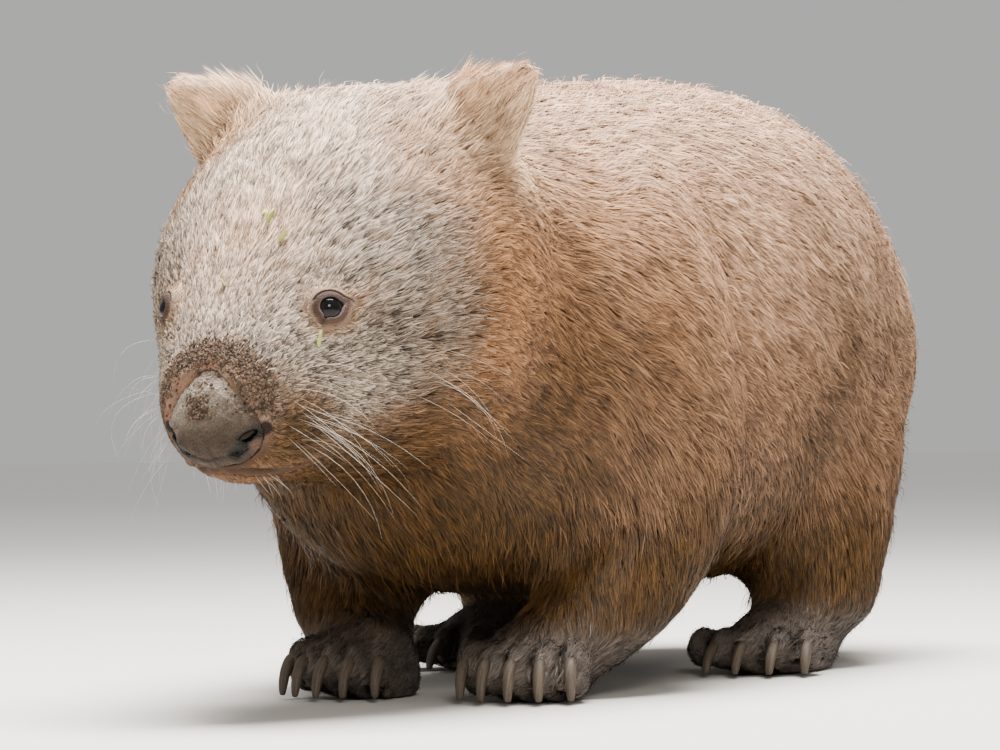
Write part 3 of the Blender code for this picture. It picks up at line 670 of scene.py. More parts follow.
def from_arrays(name: str, places: np.ndarray, triangles: np.ndarray) -> bpy.types.Mesh:
    """One mesh of many small joined shapes.

    Args:
        name: The mesh's name.
        places: The vertices.
        triangles: The corners of each triangle.

    Returns:
        The mesh.
    """
    mesh = bpy.data.meshes.new(name)
    mesh.vertices.add(len(places))
    mesh.vertices.foreach_set("co", np.ascontiguousarray(places, dtype=np.float32).ravel())
    mesh.loops.add(triangles.size)
    mesh.loops.foreach_set("vertex_index", np.ascontiguousarray(triangles, dtype=np.int32).ravel())
    mesh.polygons.add(len(triangles))
    mesh.polygons.foreach_set("loop_start", np.arange(0, triangles.size, 3, dtype=np.int32))
    mesh.update(calc_edges=True)
    return mesh


def copied_node(name: str, grown: float = 0.0) -> bmesh.types.BMesh:
    """A merged copy of a CAD node's mesh.

    Args:
        name: The node.
        grown: How far every vertex moves out along its normal.

    Returns:
        The copy.
    """
    bm = bmesh.new()
    bm.from_mesh(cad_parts[name].data)
    bmesh.ops.remove_doubles(bm, verts=bm.verts, dist=MERGE)
    bm.normal_update()
    for vertex in bm.verts:
        vertex.co += vertex.normal * grown
    return bm


def dressed(piece: bpy.types.Object, slot: str, finish: bpy.types.Material, *nodes: str) -> bpy.types.Object:
    """The piece with its finish, riding on the body, with what it stands for.

    Args:
        piece: The piece.
        slot: The record's material slot; not used.
        finish: The material.
        *nodes: The CAD nodes that it stands for.

    Returns:
        The piece.
    """
    piece.data.materials.clear()
    piece.data.materials.append(finish)
    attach(piece, BODY)
    if nodes:
        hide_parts(*nodes)
    LOG.info("%s: %d faces", piece.name, len(piece.data.polygons))
    return piece


class Value:
    """A shader socket that takes part in sums."""

    def __init__(self, shader: "Shader", socket: bpy.types.NodeSocket) -> None:
        """Wraps one output socket."""
        self.shader = shader
        self.socket = socket

    def _math(self, operation: str, first: "Value | float", second: "Value | float") -> "Value":
        """One Math node on two values."""
        return self.shader.node("ShaderNodeMath", {"operation": operation}, {0: first, 1: second})

    def __add__(self, other: "Value | float") -> "Value":
        """self + other."""
        return self._math("ADD", self, other)

    def __radd__(self, other: float) -> "Value":
        """other + self."""
        return self._math("ADD", other, self)

    def __sub__(self, other: "Value | float") -> "Value":
        """self - other."""
        return self._math("SUBTRACT", self, other)

    def __rsub__(self, other: float) -> "Value":
        """other - self."""
        return self._math("SUBTRACT", other, self)

    def __mul__(self, other: "Value | float") -> "Value":
        """self * other."""
        return self._math("MULTIPLY", self, other)

    def __rmul__(self, other: float) -> "Value":
        """other * self."""
        return self._math("MULTIPLY", other, self)

    def __pow__(self, other: float) -> "Value":
        """self to a power."""
        return self._math("POWER", self, other)

    def above(self, low: float, high: float) -> "Value":
        """A smooth step from 0 at low to 1 at high."""
        settings = {"interpolation_type": "SMOOTHSTEP"}
        return self.shader.node("ShaderNodeMapRange", settings, {0: self, 1: low, 2: high, 3: 0.0, 4: 1.0})

    def parts(self) -> tuple["Value", "Value", "Value"]:
        """The three numbers of a vector."""
        made = self.shader.node("ShaderNodeSeparateXYZ", {}, {0: self}).socket.node
        return tuple(Value(self.shader, made.outputs[index]) for index in range(3))


Colour = tuple[float, float, float]


class Shader:
    """Builds one material's nodes."""

    def __init__(self, name: str) -> None:
        """An empty material with its output."""
        self.material = bpy.data.materials.new(name)
        self.material.use_nodes = True
        self.tree = self.material.node_tree
        self.tree.nodes.clear()

    def node(
        self,
        kind: str,
        settings: dict[str, object] | None = None,
        inputs: dict[int | str, object] | None = None,
        output: int | str = 0,
    ) -> Value:
        """Adds a node.

        Args:
            kind: The node's type.
            settings: What is set on the node first.
            inputs: A number, colour or value for each socket, by place or name.
            output: The output that is wanted.

        Returns:
            That output.
        """
        made = self.tree.nodes.new(kind)
        for key, value in (settings or {}).items():
            setattr(made, key, value)
        for key, value in (inputs or {}).items():
            socket = made.inputs[key]
            if isinstance(value, Value):
                self.tree.links.new(value.socket, socket)
            elif isinstance(value, tuple) and len(value) == 3 and socket.type == "RGBA":
                socket.default_value = (*value, 1.0)
            else:
                socket.default_value = value
        return Value(self, made.outputs[output]) if len(made.outputs) else Value(self, made.inputs[0])

    def mix(self, share: Value | float, first: Value | Colour, second: Value | Colour) -> Value:
        """A colour between two others."""
        return self.node("ShaderNodeMix", {"data_type": "RGBA"}, {0: share, 6: first, 7: second}, 2)

    def scaled(self, colour: Value, factor: Value) -> Value:
        """A colour made lighter or darker by a value."""
        return self.node("ShaderNodeVectorMath", {"operation": "SCALE"}, {0: colour, 3: factor})

    def attribute(self, name: str) -> Value:
        """A vector stored on the mesh."""
        return self.node("ShaderNodeAttribute", {"attribute_name": name}, {}, 1)

    def place(self) -> Value:
        """Object coordinates."""
        return self.node("ShaderNodeTexCoord", {}, {}, 3)

    def noise(self, scale: float, detail: float = 3.0, roughness: float = 0.55, at: Value | None = None) -> Value:
        """A noise over Object coordinates."""
        inputs = {"Vector": at or self.place(), "Scale": scale, "Detail": detail, "Roughness": roughness}
        return self.node("ShaderNodeTexNoise", {}, inputs)

    def cells(self, scale: float) -> Value:
        """Distances to the nearest of scattered points, over Object coordinates."""
        return self.node("ShaderNodeTexVoronoi", {}, {"Vector": self.place(), "Scale": scale})

    def bump(self, height: Value, strength: float, distance: float) -> Value:
        """A bumped normal."""
        inputs = {"Strength": strength, "Distance": distance, "Height": height}
        return self.node("ShaderNodeBump", {}, inputs)

    def surface(self, inputs: dict[int | str, object]) -> bpy.types.Material:
        """Ends the material in one Principled surface and returns it."""
        shade = self.node("ShaderNodeBsdfPrincipled", {}, inputs)
        self.node("ShaderNodeOutputMaterial", {}, {"Surface": shade})
        return self.material


@dataclass(frozen=True)
class Dye:
    """The colours of one kind of hair, near its root and at its tip."""

    root: Colour
    tip: Colour


@dataclass(frozen=True)
class CoatColours:
    """The dyes of the coat and how they are laid over one another."""

    brown: Dye = Dye((0.084, 0.040, 0.018), (0.306, 0.172, 0.094))
    rufous: Dye = Dye((0.135, 0.052, 0.018), (0.530, 0.270, 0.122))
    grey: Dye = Dye((0.075, 0.052, 0.037), (0.810, 0.680, 0.550))
    tan: Dye = Dye((0.390, 0.212, 0.104), (0.980, 0.740, 0.500))
    dark: Dye = Dye((0.024, 0.011, 0.002), (0.116, 0.056, 0.014))
    paw: Dye = Dye((0.052, 0.041, 0.034), (0.200, 0.162, 0.134))
    # The pale tips, also the colour of the painted highlight along the top and on the brow.
    pale_tips_and_highlight: Dye = Dye((0.345, 0.176, 0.094), (0.980, 0.680, 0.470))

    def laid(self, shader: Shader, along: Value | float, light: Value | float) -> Value:
        """The coat's colour at a place.

        Args:
            shader: The material in hand.
            along: The share of the way from root to tip.
            light: How far the pale tips reach, from 0 to 1.

        Returns:
            The colour.
        """
        rufous, tan, pale_tips_and_highlight = shader.attribute("warm").parts()
        grey, dark, paw = shader.attribute("cool").parts()
        share = along * light
        order = ((rufous, self.rufous), (grey, self.grey), (tan, self.tan), (pale_tips_and_highlight * 0.66, self.pale_tips_and_highlight),
                 (dark, self.dark), (paw, self.paw))
        root: Value | Colour = self.brown.root
        tip: Value | Colour = self.brown.tip
        for weight, dye in order:
            root = shader.mix(weight, root, dye.root)
            tip = shader.mix(weight, tip, dye.tip)
        return shader.mix(share, root, tip)


COLOURS = CoatColours()


@dataclass(frozen=True)
class FurFinish:
    """Coarse hair with dark roots, pale banded tips and a faint dusty gloss."""

    roughness: float = 0.62
    gloss: float = 0.20

    def build(self) -> bpy.types.Material:
        """The material of every coat piece."""
        shader = Shader("wombat_fur")
        along, pick, clump = shader.attribute("strand").parts()
        light = 0.30 + 0.80 * pick
        colour = COLOURS.laid(shader, along ** 0.85, light)
        patches = shader.noise(30.0, 4.0, 0.6)
        _, tan, pale_tips_and_highlight = shader.attribute("warm").parts()
        grey, _, _ = shader.attribute("cool").parts()
        stain = shader.noise(46.0, 3.0, 0.6).above(0.50, 0.66)
        colour = shader.mix(grey * stain * 0.34, colour, COLOURS.brown.tip)
        blots = shader.noise(105.0, 3.0, 0.6)
        tone = 0.74 + (0.50 + 0.40 * grey) * (pick - 0.5) + (0.40 + 0.30 * grey) * (clump - 0.5)
        tone = tone + 0.85 * (patches - 0.5) + (0.35 + 0.85 * grey) * (blots - 0.5)
        # The pale-tips term adds painted highlight: grey hair lightened on the crown and brow.
        tone = tone + 0.16 * along + 0.50 * pale_tips_and_highlight * grey + 0.26 * tan
        return shader.surface({
            "Base Color": shader.scaled(colour, tone),
            "Roughness": self.roughness,
            "Specular IOR Level": self.gloss,
        })


@dataclass(frozen=True)
class HideFinish:
    """The skin under the coat, with the same markings, and the bare skin of face and lids."""

    flesh: Colour = (0.160, 0.076, 0.046)
    # shade: a darker flesh for blotches, and also painted shade on the lids.
    shade: Colour = (0.060, 0.036, 0.025)
    # rim: near-black for painted shade in creases and recesses.
    rim: Colour = (0.016, 0.010, 0.008)
    margin: Colour = (0.080, 0.062, 0.062)
    lid: Colour = (0.152, 0.100, 0.074)
    dust: Colour = (0.225, 0.158, 0.112)
    soil: Colour = (0.042, 0.025, 0.016)

    def build(self) -> bpy.types.Material:
        """The material of the skin."""
        shader = Shader("wombat_skin")
        streak = shader.noise(420.0, 4.0, 0.6)
        # Painted shade: the coat's colour nearer the root, streaked and darker on the whole, for the shade between
        # the tufts.
        coat = shader.scaled(COLOURS.laid(shader, 0.30, 1.0), 0.36 + 0.72 * streak)
        bare, wet, lid = shader.attribute("naked").parts()
        blotch = shader.noise(95.0, 5.0, 0.6).above(0.38, 0.72)
        pores = shader.cells(900.0)
        dusty = shader.noise(48.0, 4.0, 0.6).above(0.40, 0.72)
        naked = shader.mix(blotch, self.flesh, self.shade)
        naked = shader.mix(dusty * 0.75, naked, self.dust)
        fold = shader.mix(blotch * 0.35, self.lid, self.shade)
        # Painted shade: the lid skin round each eye, between its margin and the tan ring, darkened to the shade
        # colour.
        fold = shader.mix(lid.above(0.50, 0.72), fold, self.shade)
        fold = shader.mix(lid.above(0.86, 0.95), fold, self.margin)
        naked = shader.mix(lid.above(0.02, 0.25), naked, fold)
        soil, lip, _ = shader.attribute("soiled").parts()
        # Bare skin below the lips' height is darkened almost to the soil colour.
        colour = shader.mix(bare, coat, shader.mix(lip * 0.94, naked, self.soil))
        clods = shader.noise(330.0, 4.0, 0.65)
        caked = (soil + (clods - 0.5) * 1.1).above(0.30, 0.62)
        colour = shader.mix(caked * 0.85, colour, shader.scaled(shader.mix(clods.above(0.35, 0.75), self.soil,
                                                                           self.dust), 0.9))
        # Painted shade: creases and recesses darkened almost to black.
        colour = shader.mix(wet, colour, self.rim)
        creases = shader.noise(260.0, 6.0, 0.65)
        normal = shader.bump(pores + creases * 1.4 + caked * clods * 1.6, 0.50, 0.0013)
        return shader.surface({
            "Base Color": colour,
            "Roughness": 0.86 - 0.12 * lid.above(0.86, 0.95),
            "Normal": normal,
            "Specular IOR Level": 0.12,
        })


@dataclass(frozen=True)
class NoseFinish:
    """The leathery grey nose pad, dry and dusty, its lower part darker as painted shade, moist and near-black as
    painted shade at the nostrils and seam.
    """

    leather: Colour = (0.022, 0.012, 0.005)
    flesh: Colour = (0.095, 0.050, 0.032)
    dust: Colour = (0.200, 0.158, 0.120)
    # damp: near-black for the moist nostrils and seam, with painted shade in them.
    damp: Colour = (0.008, 0.006, 0.005)
    soil: Colour = (0.060, 0.038, 0.026)

    def build(self) -> bpy.types.Material:
        """The material of the nose pad."""
        shader = Shader("wombat_nose")
        pit, low, lobe = shader.attribute("pad").parts()
        stain, wing, _ = shader.attribute("soiled").parts()
        dry = shader.noise(120.0, 6.0, 0.65).above(0.36, 0.66)
        grain = shader.noise(1300.0, 4.0, 0.7)
        pebble = shader.cells(760.0)
        # Painted shade: less dust and more dark leather towards the pad's lower part.
        colour = shader.mix((0.50 + 0.50 * dry) * (1.0 - 0.93 * low), self.leather, self.dust)
        colour = shader.mix(lobe * 0.80, colour, self.leather)
        colour = shader.mix(wing * 0.90, colour, self.flesh)
        colour = shader.scaled(colour, 0.45 + 0.65 * grain + 0.50 * pebble)
        clods = shader.noise(420.0, 4.0, 0.65)
        caked = (stain + (clods - 0.5) * 1.0).above(0.34, 0.66)
        colour = shader.mix(caked * 0.80, colour, self.soil)
        # Painted shade: the nostril slits and the seam under the pad, moist and near-black.
        colour = shader.mix(pit, colour, self.damp)
        normal = shader.bump(pebble * 1.1 + grain * 0.9 + caked * clods * 1.4, 0.85, 0.0011)
        return shader.surface({
            "Base Color": colour,
            "Roughness": 0.80 - 0.30 * pit,
            "Normal": normal,
            "Specular IOR Level": 0.32,
        })


@dataclass(frozen=True)
class EyeFinish:
    """A near-black wet eye with a dark brown iris."""

    pupil: Colour = (0.003, 0.003, 0.003)
    iris: Colour = (0.014, 0.008, 0.005)
    edge: Colour = (0.004, 0.003, 0.003)
    white: Colour = (0.090, 0.060, 0.050)

    def build(self) -> bpy.types.Material:
        """The material of both eyes."""
        shader = Shader("wombat_eye")
        turn, _, _ = shader.attribute("gaze").parts()
        fibre = shader.noise(900.0, 4.0, 0.6)
        iris = shader.mix(fibre, self.edge, self.iris)
        colour = shader.mix(turn.above(0.26, 0.32), self.pupil, iris)
        colour = shader.mix(turn.above(0.60, 0.72), colour, self.edge)
        colour = shader.mix(turn.above(0.78, 0.90), colour, self.white)
        return shader.surface({
            "Base Color": colour,
            "Roughness": 0.05,
            "Specular IOR Level": 0.18,
        })


@dataclass(frozen=True)
class HornFinish:
    """Claw horn, grey-tan and streaked lengthwise, soiled at the root."""

    pale: Colour = (0.078, 0.058, 0.039)
    deep: Colour = (0.034, 0.024, 0.016)
    soil: Colour = (0.022, 0.016, 0.011)

    def build(self) -> bpy.types.Material:
        """The material of all claws."""
        shader = Shader("wombat_claw")
        along, side, pick = shader.attribute("horn").parts()
        lines = shader.node("ShaderNodeCombineXYZ", {}, {0: side * 9.0, 1: along * 0.9, 2: pick * 7.0})
        streak = shader.noise(1.0, 4.0, 0.6, lines).above(0.30, 0.70)
        speck = shader.noise(520.0, 4.0, 0.65)
        colour = shader.mix(streak, self.deep, self.pale)
        colour = shader.mix((1.0 - along).above(0.55, 0.95), colour, self.soil)
        colour = shader.mix(speck.above(0.56, 0.66) * 0.7, colour, self.soil)
        height = streak * 0.8 + speck * 0.5
        return shader.surface({
            "Base Color": colour,
            "Roughness": 0.42 + 0.25 * speck,
            "Normal": shader.bump(height, 0.4, 0.0006),
            "Specular IOR Level": 0.28,
        })


@dataclass(frozen=True)
class SoilFinish:
    """Dry crumbs of soil, each with its own tone."""

    wet: Colour = (0.021, 0.013, 0.008)
    dry: Colour = (0.132, 0.086, 0.058)

    def build(self) -> bpy.types.Material:
        """The material of the crumbs on the nose."""
        shader = Shader("wombat_soil")
        pick, _, _ = shader.attribute("crumb").parts()
        grain = shader.noise(1500.0, 3.0, 0.6)
        colour = shader.mix(pick ** 1.4, self.wet, self.dry)
        return shader.surface({
            "Base Color": shader.scaled(colour, 0.75 + 0.5 * grain),
            "Roughness": 0.95,
            "Normal": shader.bump(grain, 0.6, 0.0006),
            "Specular IOR Level": 0.20,
        })


@dataclass(frozen=True)
class WhiskerFinish:
    """Stiff pale bristles, darker at the root."""

    root: Colour = (0.200, 0.140, 0.105)
    tip: Colour = (0.690, 0.630, 0.560)

    def build(self) -> bpy.types.Material:
        """The material of the whiskers."""
        shader = Shader("wombat_whisker")
        along, pick, _ = shader.attribute("strand").parts()
        colour = shader.mix(along.above(0.02, 0.30), self.root, self.tip)
        return shader.surface({
            "Base Color": shader.scaled(colour, 0.72 + 0.40 * pick),
            "Roughness": 0.38,
            "Specular IOR Level": 0.50,
        })


@dataclass(frozen=True)
class FleckFinish:
    """Small green bits of leaf caught in the coat."""

    fresh: Colour = (0.190, 0.290, 0.025)
    dried: Colour = (0.360, 0.370, 0.110)

    def build(self) -> bpy.types.Material:
        """The material of the flecks."""
        shader = Shader("wombat_fleck")
        pick, _, _ = shader.attribute("crumb").parts()
        veins = shader.noise(700.0, 3.0, 0.6)
        colour = shader.mix(pick, self.fresh, self.dried)
        return shader.surface({
            "Base Color": shader.scaled(colour, 0.7 + 0.6 * veins),
            "Roughness": 0.6,
        })


@dataclass(frozen=True)
class FloorFinish:
    """Pale matt studio floor."""

    near: Colour = (0.500, 0.475, 0.440)
    far: Colour = (0.955, 0.950, 0.940)

    def build(self) -> bpy.types.Material:
        """The material of the floor, which pales towards the colour of the surround."""
        shader = Shader("studio_floor")
        away = shader.node("ShaderNodeVectorMath", {"operation": "LENGTH"}, {0: shader.place()}, 1)
        return shader.surface({
            "Base Color": shader.mix(away.above(1.0, 7.0), self.near, self.far),
            "Roughness": 0.85,
            "Specular IOR Level": 0.20,
        })


@dataclass
class Skin:
    """One closed skin over the whole body, inside the solids by the depth of the coat."""

    marks: Landmarks
    voxel: float = 0.0027
    overlap: float = 0.0006
    target: int = 150000
    groove: float = 0.0030
    seat: float = 0.0150
    furrow: float = 0.0012
    zones: dict[Zone, tuple[str, ...]] = field(default_factory=lambda: {
        Zone.CROWN: ("head",), Zone.EAR: EAR_NODES, Zone.NECK: ("neck",), Zone.TRUNK: TRUNK_NODES,
        Zone.LEG: LEG_NODES, Zone.PAW: PAW_NODES, Zone.TAIL: ("tail",), Zone.FILLER: FILLER_NODES,
    })

    def build(self) -> bpy.types.Object:
        """The finished skin, dressed and in place of the nodes of flesh."""
        skin = self._thickened()
        self._inset(skin)
        skin = self._lightened(skin)
        gauge = PadGauge(self.marks)
        self._refine(skin, gauge)
        self._seat_nose(skin, gauge)
        self._shape_lids(skin)
        self._press_mouth(skin)
        self._part_toes(skin)
        markings = Markings(self.marks)
        places = read_vertices(skin.data)
        for name, rows in zip(("warm", "cool", "naked"), markings.three(places)):
            add_vectors(skin.data, name, rows)
        soil = markings.soiled(places)
        # Darker towards the bottom: 1 on the bare skin below the lips' height.
        lip = 1.0 - ramp(places[:, 2] - 0.10 * np.abs(places[:, 0]), 0.150, 0.182)
        add_vectors(skin.data, "soiled", np.stack([soil, lip, lip], axis=1))
        skin.data.shade_smooth()
        return dressed(skin, "body_coat", HideFinish().build(), *FLESH_NODES)

    def _thickened(self) -> bpy.types.Object:
        """All flesh solids joined into one smooth closed mesh."""
        joined = bmesh.new()
        for name in (*FLESH_NODES, *FILLER_NODES):
            part = copied_node(name, self.overlap)
            mesh = bpy.data.meshes.new("flesh_part")
            part.to_mesh(mesh)
            part.free()
            joined.from_mesh(mesh)
            bpy.data.meshes.remove(mesh)
        mesh = bpy.data.meshes.new("skin")
        joined.to_mesh(mesh)
        joined.free()
        skin = new_object("skin", mesh)
        remesh = skin.modifiers.new("one", "REMESH")
        remesh.mode = "VOXEL"
        remesh.voxel_size = self.voxel
        smooth = skin.modifiers.new("ease", "SMOOTH")
        smooth.factor = 0.5
        smooth.iterations = 6
        return settled(skin)

    def weights(self, places: np.ndarray, web: Web | None, rounds: int = 14) -> np.ndarray:
        """How far each vertex belongs to each zone.

        Args:
            places: The vertices.
            web: Their neighbours, or None to leave the borders sharp.
            rounds: How far the borders are softened.

        Returns:
            One row for each vertex, one column for each zone.
        """
        owners: list[Zone] = []
        corners: list[np.ndarray] = []
        for zone, names in self.zones.items():
            for name in names:
                rows = read_vertices(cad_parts[name].data)
                corners.append(rows)
                owners.extend([zone] * len(rows))
        tree = KDTree(len(owners))
        for index, row in enumerate(np.concatenate(corners)):
            tree.insert(row, index)
        tree.balance()
        table = np.zeros((len(places), len(Zone)))
        for index, row in enumerate(places):
            table[index, owners[tree.find(row)[1]].value] = 1.0
        away = np.linalg.norm(places - self.marks.nose, axis=1)
        front = 1.0 - ramp(away, 0.075, 0.125)
        table[:, Zone.FACE.value] = table[:, Zone.CROWN.value] * front
        table[:, Zone.CROWN.value] -= table[:, Zone.FACE.value]
        return web.eased(table, rounds) if web else table

    def _inset(self, skin: bpy.types.Object) -> None:
        """Moves the skin inwards by the coat's depth, and well under the nose pad."""
        mesh = skin.data
        places = read_vertices(mesh)
        web = Web(read_edges(mesh), len(places))
        table = self.weights(places, web)
        depths = np.array([STYLES[zone].depth for zone in Zone])
        depth = table @ depths + self.overlap
        depth *= ramp(places[:, 2], -0.002, 0.016)
        depth = web.eased(depth[:, None], 4)
        normals = unit(web.eased(read_normals(mesh), 3))
        moved = places - normals * depth
        moved = moved + (web.eased(moved, 2, 0.4) - moved)
        moved[:, 2] = np.maximum(moved[:, 2], 0.0004)
        write_vertices(mesh, moved)

    def _lightened(self, skin: bpy.types.Object) -> bpy.types.Object:
        """The skin with fewer triangles on the trunk than on the head and feet."""
        places = read_vertices(skin.data)
        keep = np.clip(ramp(places[:, 1], -0.26, -0.33) + ramp(places[:, 2], 0.07, 0.05), 0.0, 1.0)
        group = skin.vertex_groups.new(name="trunk")
        for step in range(5):
            members = np.nonzero(np.clip((keep * 5).astype(int), 0, 4) == step)[0]
            group.add(members.tolist(), 1.0 - step / 4.0, "REPLACE")
        fewer = skin.modifiers.new("fewer", "DECIMATE")
        fewer.ratio = min(1.0, self.target / (2.0 * len(skin.data.polygons)))
        fewer.vertex_group = group.name
        skin = settled(skin)
        skin.vertex_groups.clear()
        return skin

    def _refine(self, skin: bpy.types.Object, gauge: PadGauge) -> None:
        """Splits the edges round the eyes, the pad and along the mouth, so that folds have room."""
        for reach in (1.0, 0.6):
            bm = bmesh.new()
            bm.from_mesh(skin.data)
            middles = np.array([face.calc_center_median() for face in bm.faces])
            near = line_distance(middles, self.marks.mouth) < 0.009 * reach
            for centre, out in zip(self.marks.eyes, self.marks.outward):
                view = EyeView.of(centre, out)
                back, up, forth = view.flat(middles)
                near |= (np.hypot(back, up) < 0.024 * reach) & (forth > -0.006)
            near |= np.abs(gauge.gap(middles)) < 0.008 * reach
            bm.faces.ensure_lookup_table()
            edges = {edge for index in np.nonzero(near)[0] for edge in bm.faces[index].edges}
            bmesh.ops.subdivide_edges(bm, edges=list(edges), cuts=1, use_grid_fill=True)
            bmesh.ops.triangulate(bm, faces=bm.faces)
            bm.to_mesh(skin.data)
            bm.free()

    def _seat_nose(self, skin: bpy.types.Object, gauge: PadGauge) -> None:
        """Sinks the skin well under the nose pad, with a narrow furrow and a soft roll round the pad."""
        places = read_vertices(skin.data)
        gap = gauge.gap(places)
        under = self.seat * (1.0 - ramp(gap, 0.0002, self.furrow))
        roll = 0.0012 * np.exp(-(((gap - 0.0050) / 0.0022) ** 2))
        normals = read_normals(skin.data)
        away = (places - self.marks.nose) / 0.030
        inward = unit(np.stack([-0.9 * away[:, 0], np.ones(len(places)), -0.5 * away[:, 2]], axis=1))
        write_vertices(skin.data, places + inward * under[:, None] + normals * roll[:, None])

    def _shape_lids(self, skin: bpy.types.Object) -> None:
        """Opens the lids over each eye, with a rolled rim, a furrow and a soft brow above."""
        mesh = skin.data
        places = read_vertices(mesh)
        radius = self.marks.eye_radius
        for centre, out in zip(self.marks.eyes, self.marks.outward):
            view = EyeView.of(centre, out)
            back, up, forth = view.flat(places)
            share = LIDS.share(view, places)
            away = np.hypot(back, up)
            ball = np.sqrt(np.maximum(radius**2 - np.minimum(away, radius * 0.93) ** 2, 0.0))
            angle = np.arctan2(up, back)
            edge = np.minimum(LIDS.reach(angle), radius * 0.90)
            rim = np.sqrt(radius**2 - edge**2) + LIDS.lip_rise
            rim = rim + 0.0014 * np.sin(np.clip(angle, 0.0, math.pi))
            inner = ball - LIDS.sunk
            rolled = rim - 0.0009 * np.clip((share - 1.14) / 0.28, -1.0, 1.0) ** 2
            bag = 0.0006 * np.exp(-(((share - 1.70) / 0.14) ** 2)) * ramp(-up, -0.002, 0.004)
            furrow = 0.0018 * LIDS.fold(view, places) + bag
            outer = forth + (rolled - forth) * (1.0 - ramp(share, 1.20, 2.60)) - furrow
            wanted = np.where(share < 1.0, inner, outer)
            wanted = inner + (wanted - inner) * ramp(share, 0.90, 1.04)
            inside = (share < 3.0) & (forth > -0.004) & (away < 0.026)
            places[inside] += np.outer((wanted - forth)[inside], out)
        write_vertices(mesh, places)

    def _press_mouth(self, skin: bpy.types.Object) -> None:
        """Presses the line of the mouth into the skin, with fuller lips on both sides."""
        mesh = skin.data
        places = read_vertices(mesh)
        normals = read_normals(mesh)
        away = line_distance(places, self.marks.mouth)
        slot = self.groove * np.exp(-((away / 0.0016) ** 2))
        lips = 0.0009 * np.exp(-(((away - 0.0048) / 0.0022) ** 2))
        moved = np.where(away < 0.012, lips - slot, 0.0)
        write_vertices(mesh, places + normals * moved[:, None])


    def _part_toes(self, skin: bpy.types.Object) -> None:
        """Presses a groove between each two neighbouring toes."""
        places = read_vertices(skin.data)
        normals = read_normals(skin.data)
        depth = np.zeros(len(places))
        for names in (claw_names(foot, side) for foot in FEET for side in SIDES):
            roots = np.array([(*node_centre(name)[:2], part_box(name)[1].z) for name in names])
            for first, second in zip(roots[:-1], roots[1:]):
                middle = (first + second) / 2.0
                back = np.clip((places[:, 1] - middle[1]) / 0.060, 0.0, 1.0)
                centre = middle[0] + 0.45 * back * (roots[:, 0].mean() - middle[0])
                line = np.exp(-(((places[:, 0] - centre) / 0.0032) ** 2))
                reach = (np.abs(places[:, 1] - middle[1]) < 0.070) & (places[:, 2] < 0.070)
                depth = np.maximum(depth, line * reach * (1.0 - ramp(back, 0.35, 0.95)))
        write_vertices(skin.data, places - normals * (0.0042 * depth)[:, None])


@dataclass
class CoatPlan:
    """Everything the tufts are set from, on each vertex of the skin."""

    places: np.ndarray
    normals: np.ndarray
    triangles: np.ndarray
    sizes: np.ndarray
    flow: np.ndarray
    bare: np.ndarray
    zone: np.ndarray
    tree: BVHTree


class PieceName(Enum):
    """The pieces that the coat is divided into."""

    FACE = "coat_face"
    CROWN = "coat_crown"
    EARS = "coat_ears"
    NECK = "coat_neck"
    FORE_LEFT = "coat_fore_left"
    FORE_RIGHT = "coat_fore_right"
    REAR_LEFT = "coat_rear_left"
    REAR_RIGHT = "coat_rear_right"
    FORELEGS = "coat_forelegs"
    HINDLEGS = "coat_hindlegs"


PIECE_SLOTS = {
    PieceName.FACE: "face_coat", PieceName.CROWN: "face_coat", PieceName.EARS: "ear_coat",
    PieceName.FORELEGS: "leg_coat", PieceName.HINDLEGS: "leg_coat",
}


def piece_of(zone: np.ndarray, places: np.ndarray) -> np.ndarray:
    """The piece that each place belongs to.

    Args:
        zone: The zone's number at each place.
        places: The places.

    Returns:
        Places in PieceName's order.
    """
    order = {piece: index for index, piece in enumerate(PieceName)}
    fore = places[:, 1] < 0.085
    left = places[:, 0] > 0.0
    trunk = np.where(
        fore,
        np.where(left, order[PieceName.FORE_LEFT], order[PieceName.FORE_RIGHT]),
        np.where(left, order[PieceName.REAR_LEFT], order[PieceName.REAR_RIGHT]),
    )
    limb = np.where(places[:, 1] < 0.03, order[PieceName.FORELEGS], order[PieceName.HINDLEGS])
    made = trunk
    made = np.where((zone == Zone.LEG.value) | (zone == Zone.PAW.value), limb, made)
    made = np.where(zone == Zone.NECK.value, order[PieceName.NECK], made)
    made = np.where(zone == Zone.CROWN.value, order[PieceName.CROWN], made)
    made = np.where((zone == Zone.FACE.value) | (zone == Zone.FILLER.value), order[PieceName.FACE], made)
    return np.where(zone == Zone.EAR.value, order[PieceName.EARS], made)


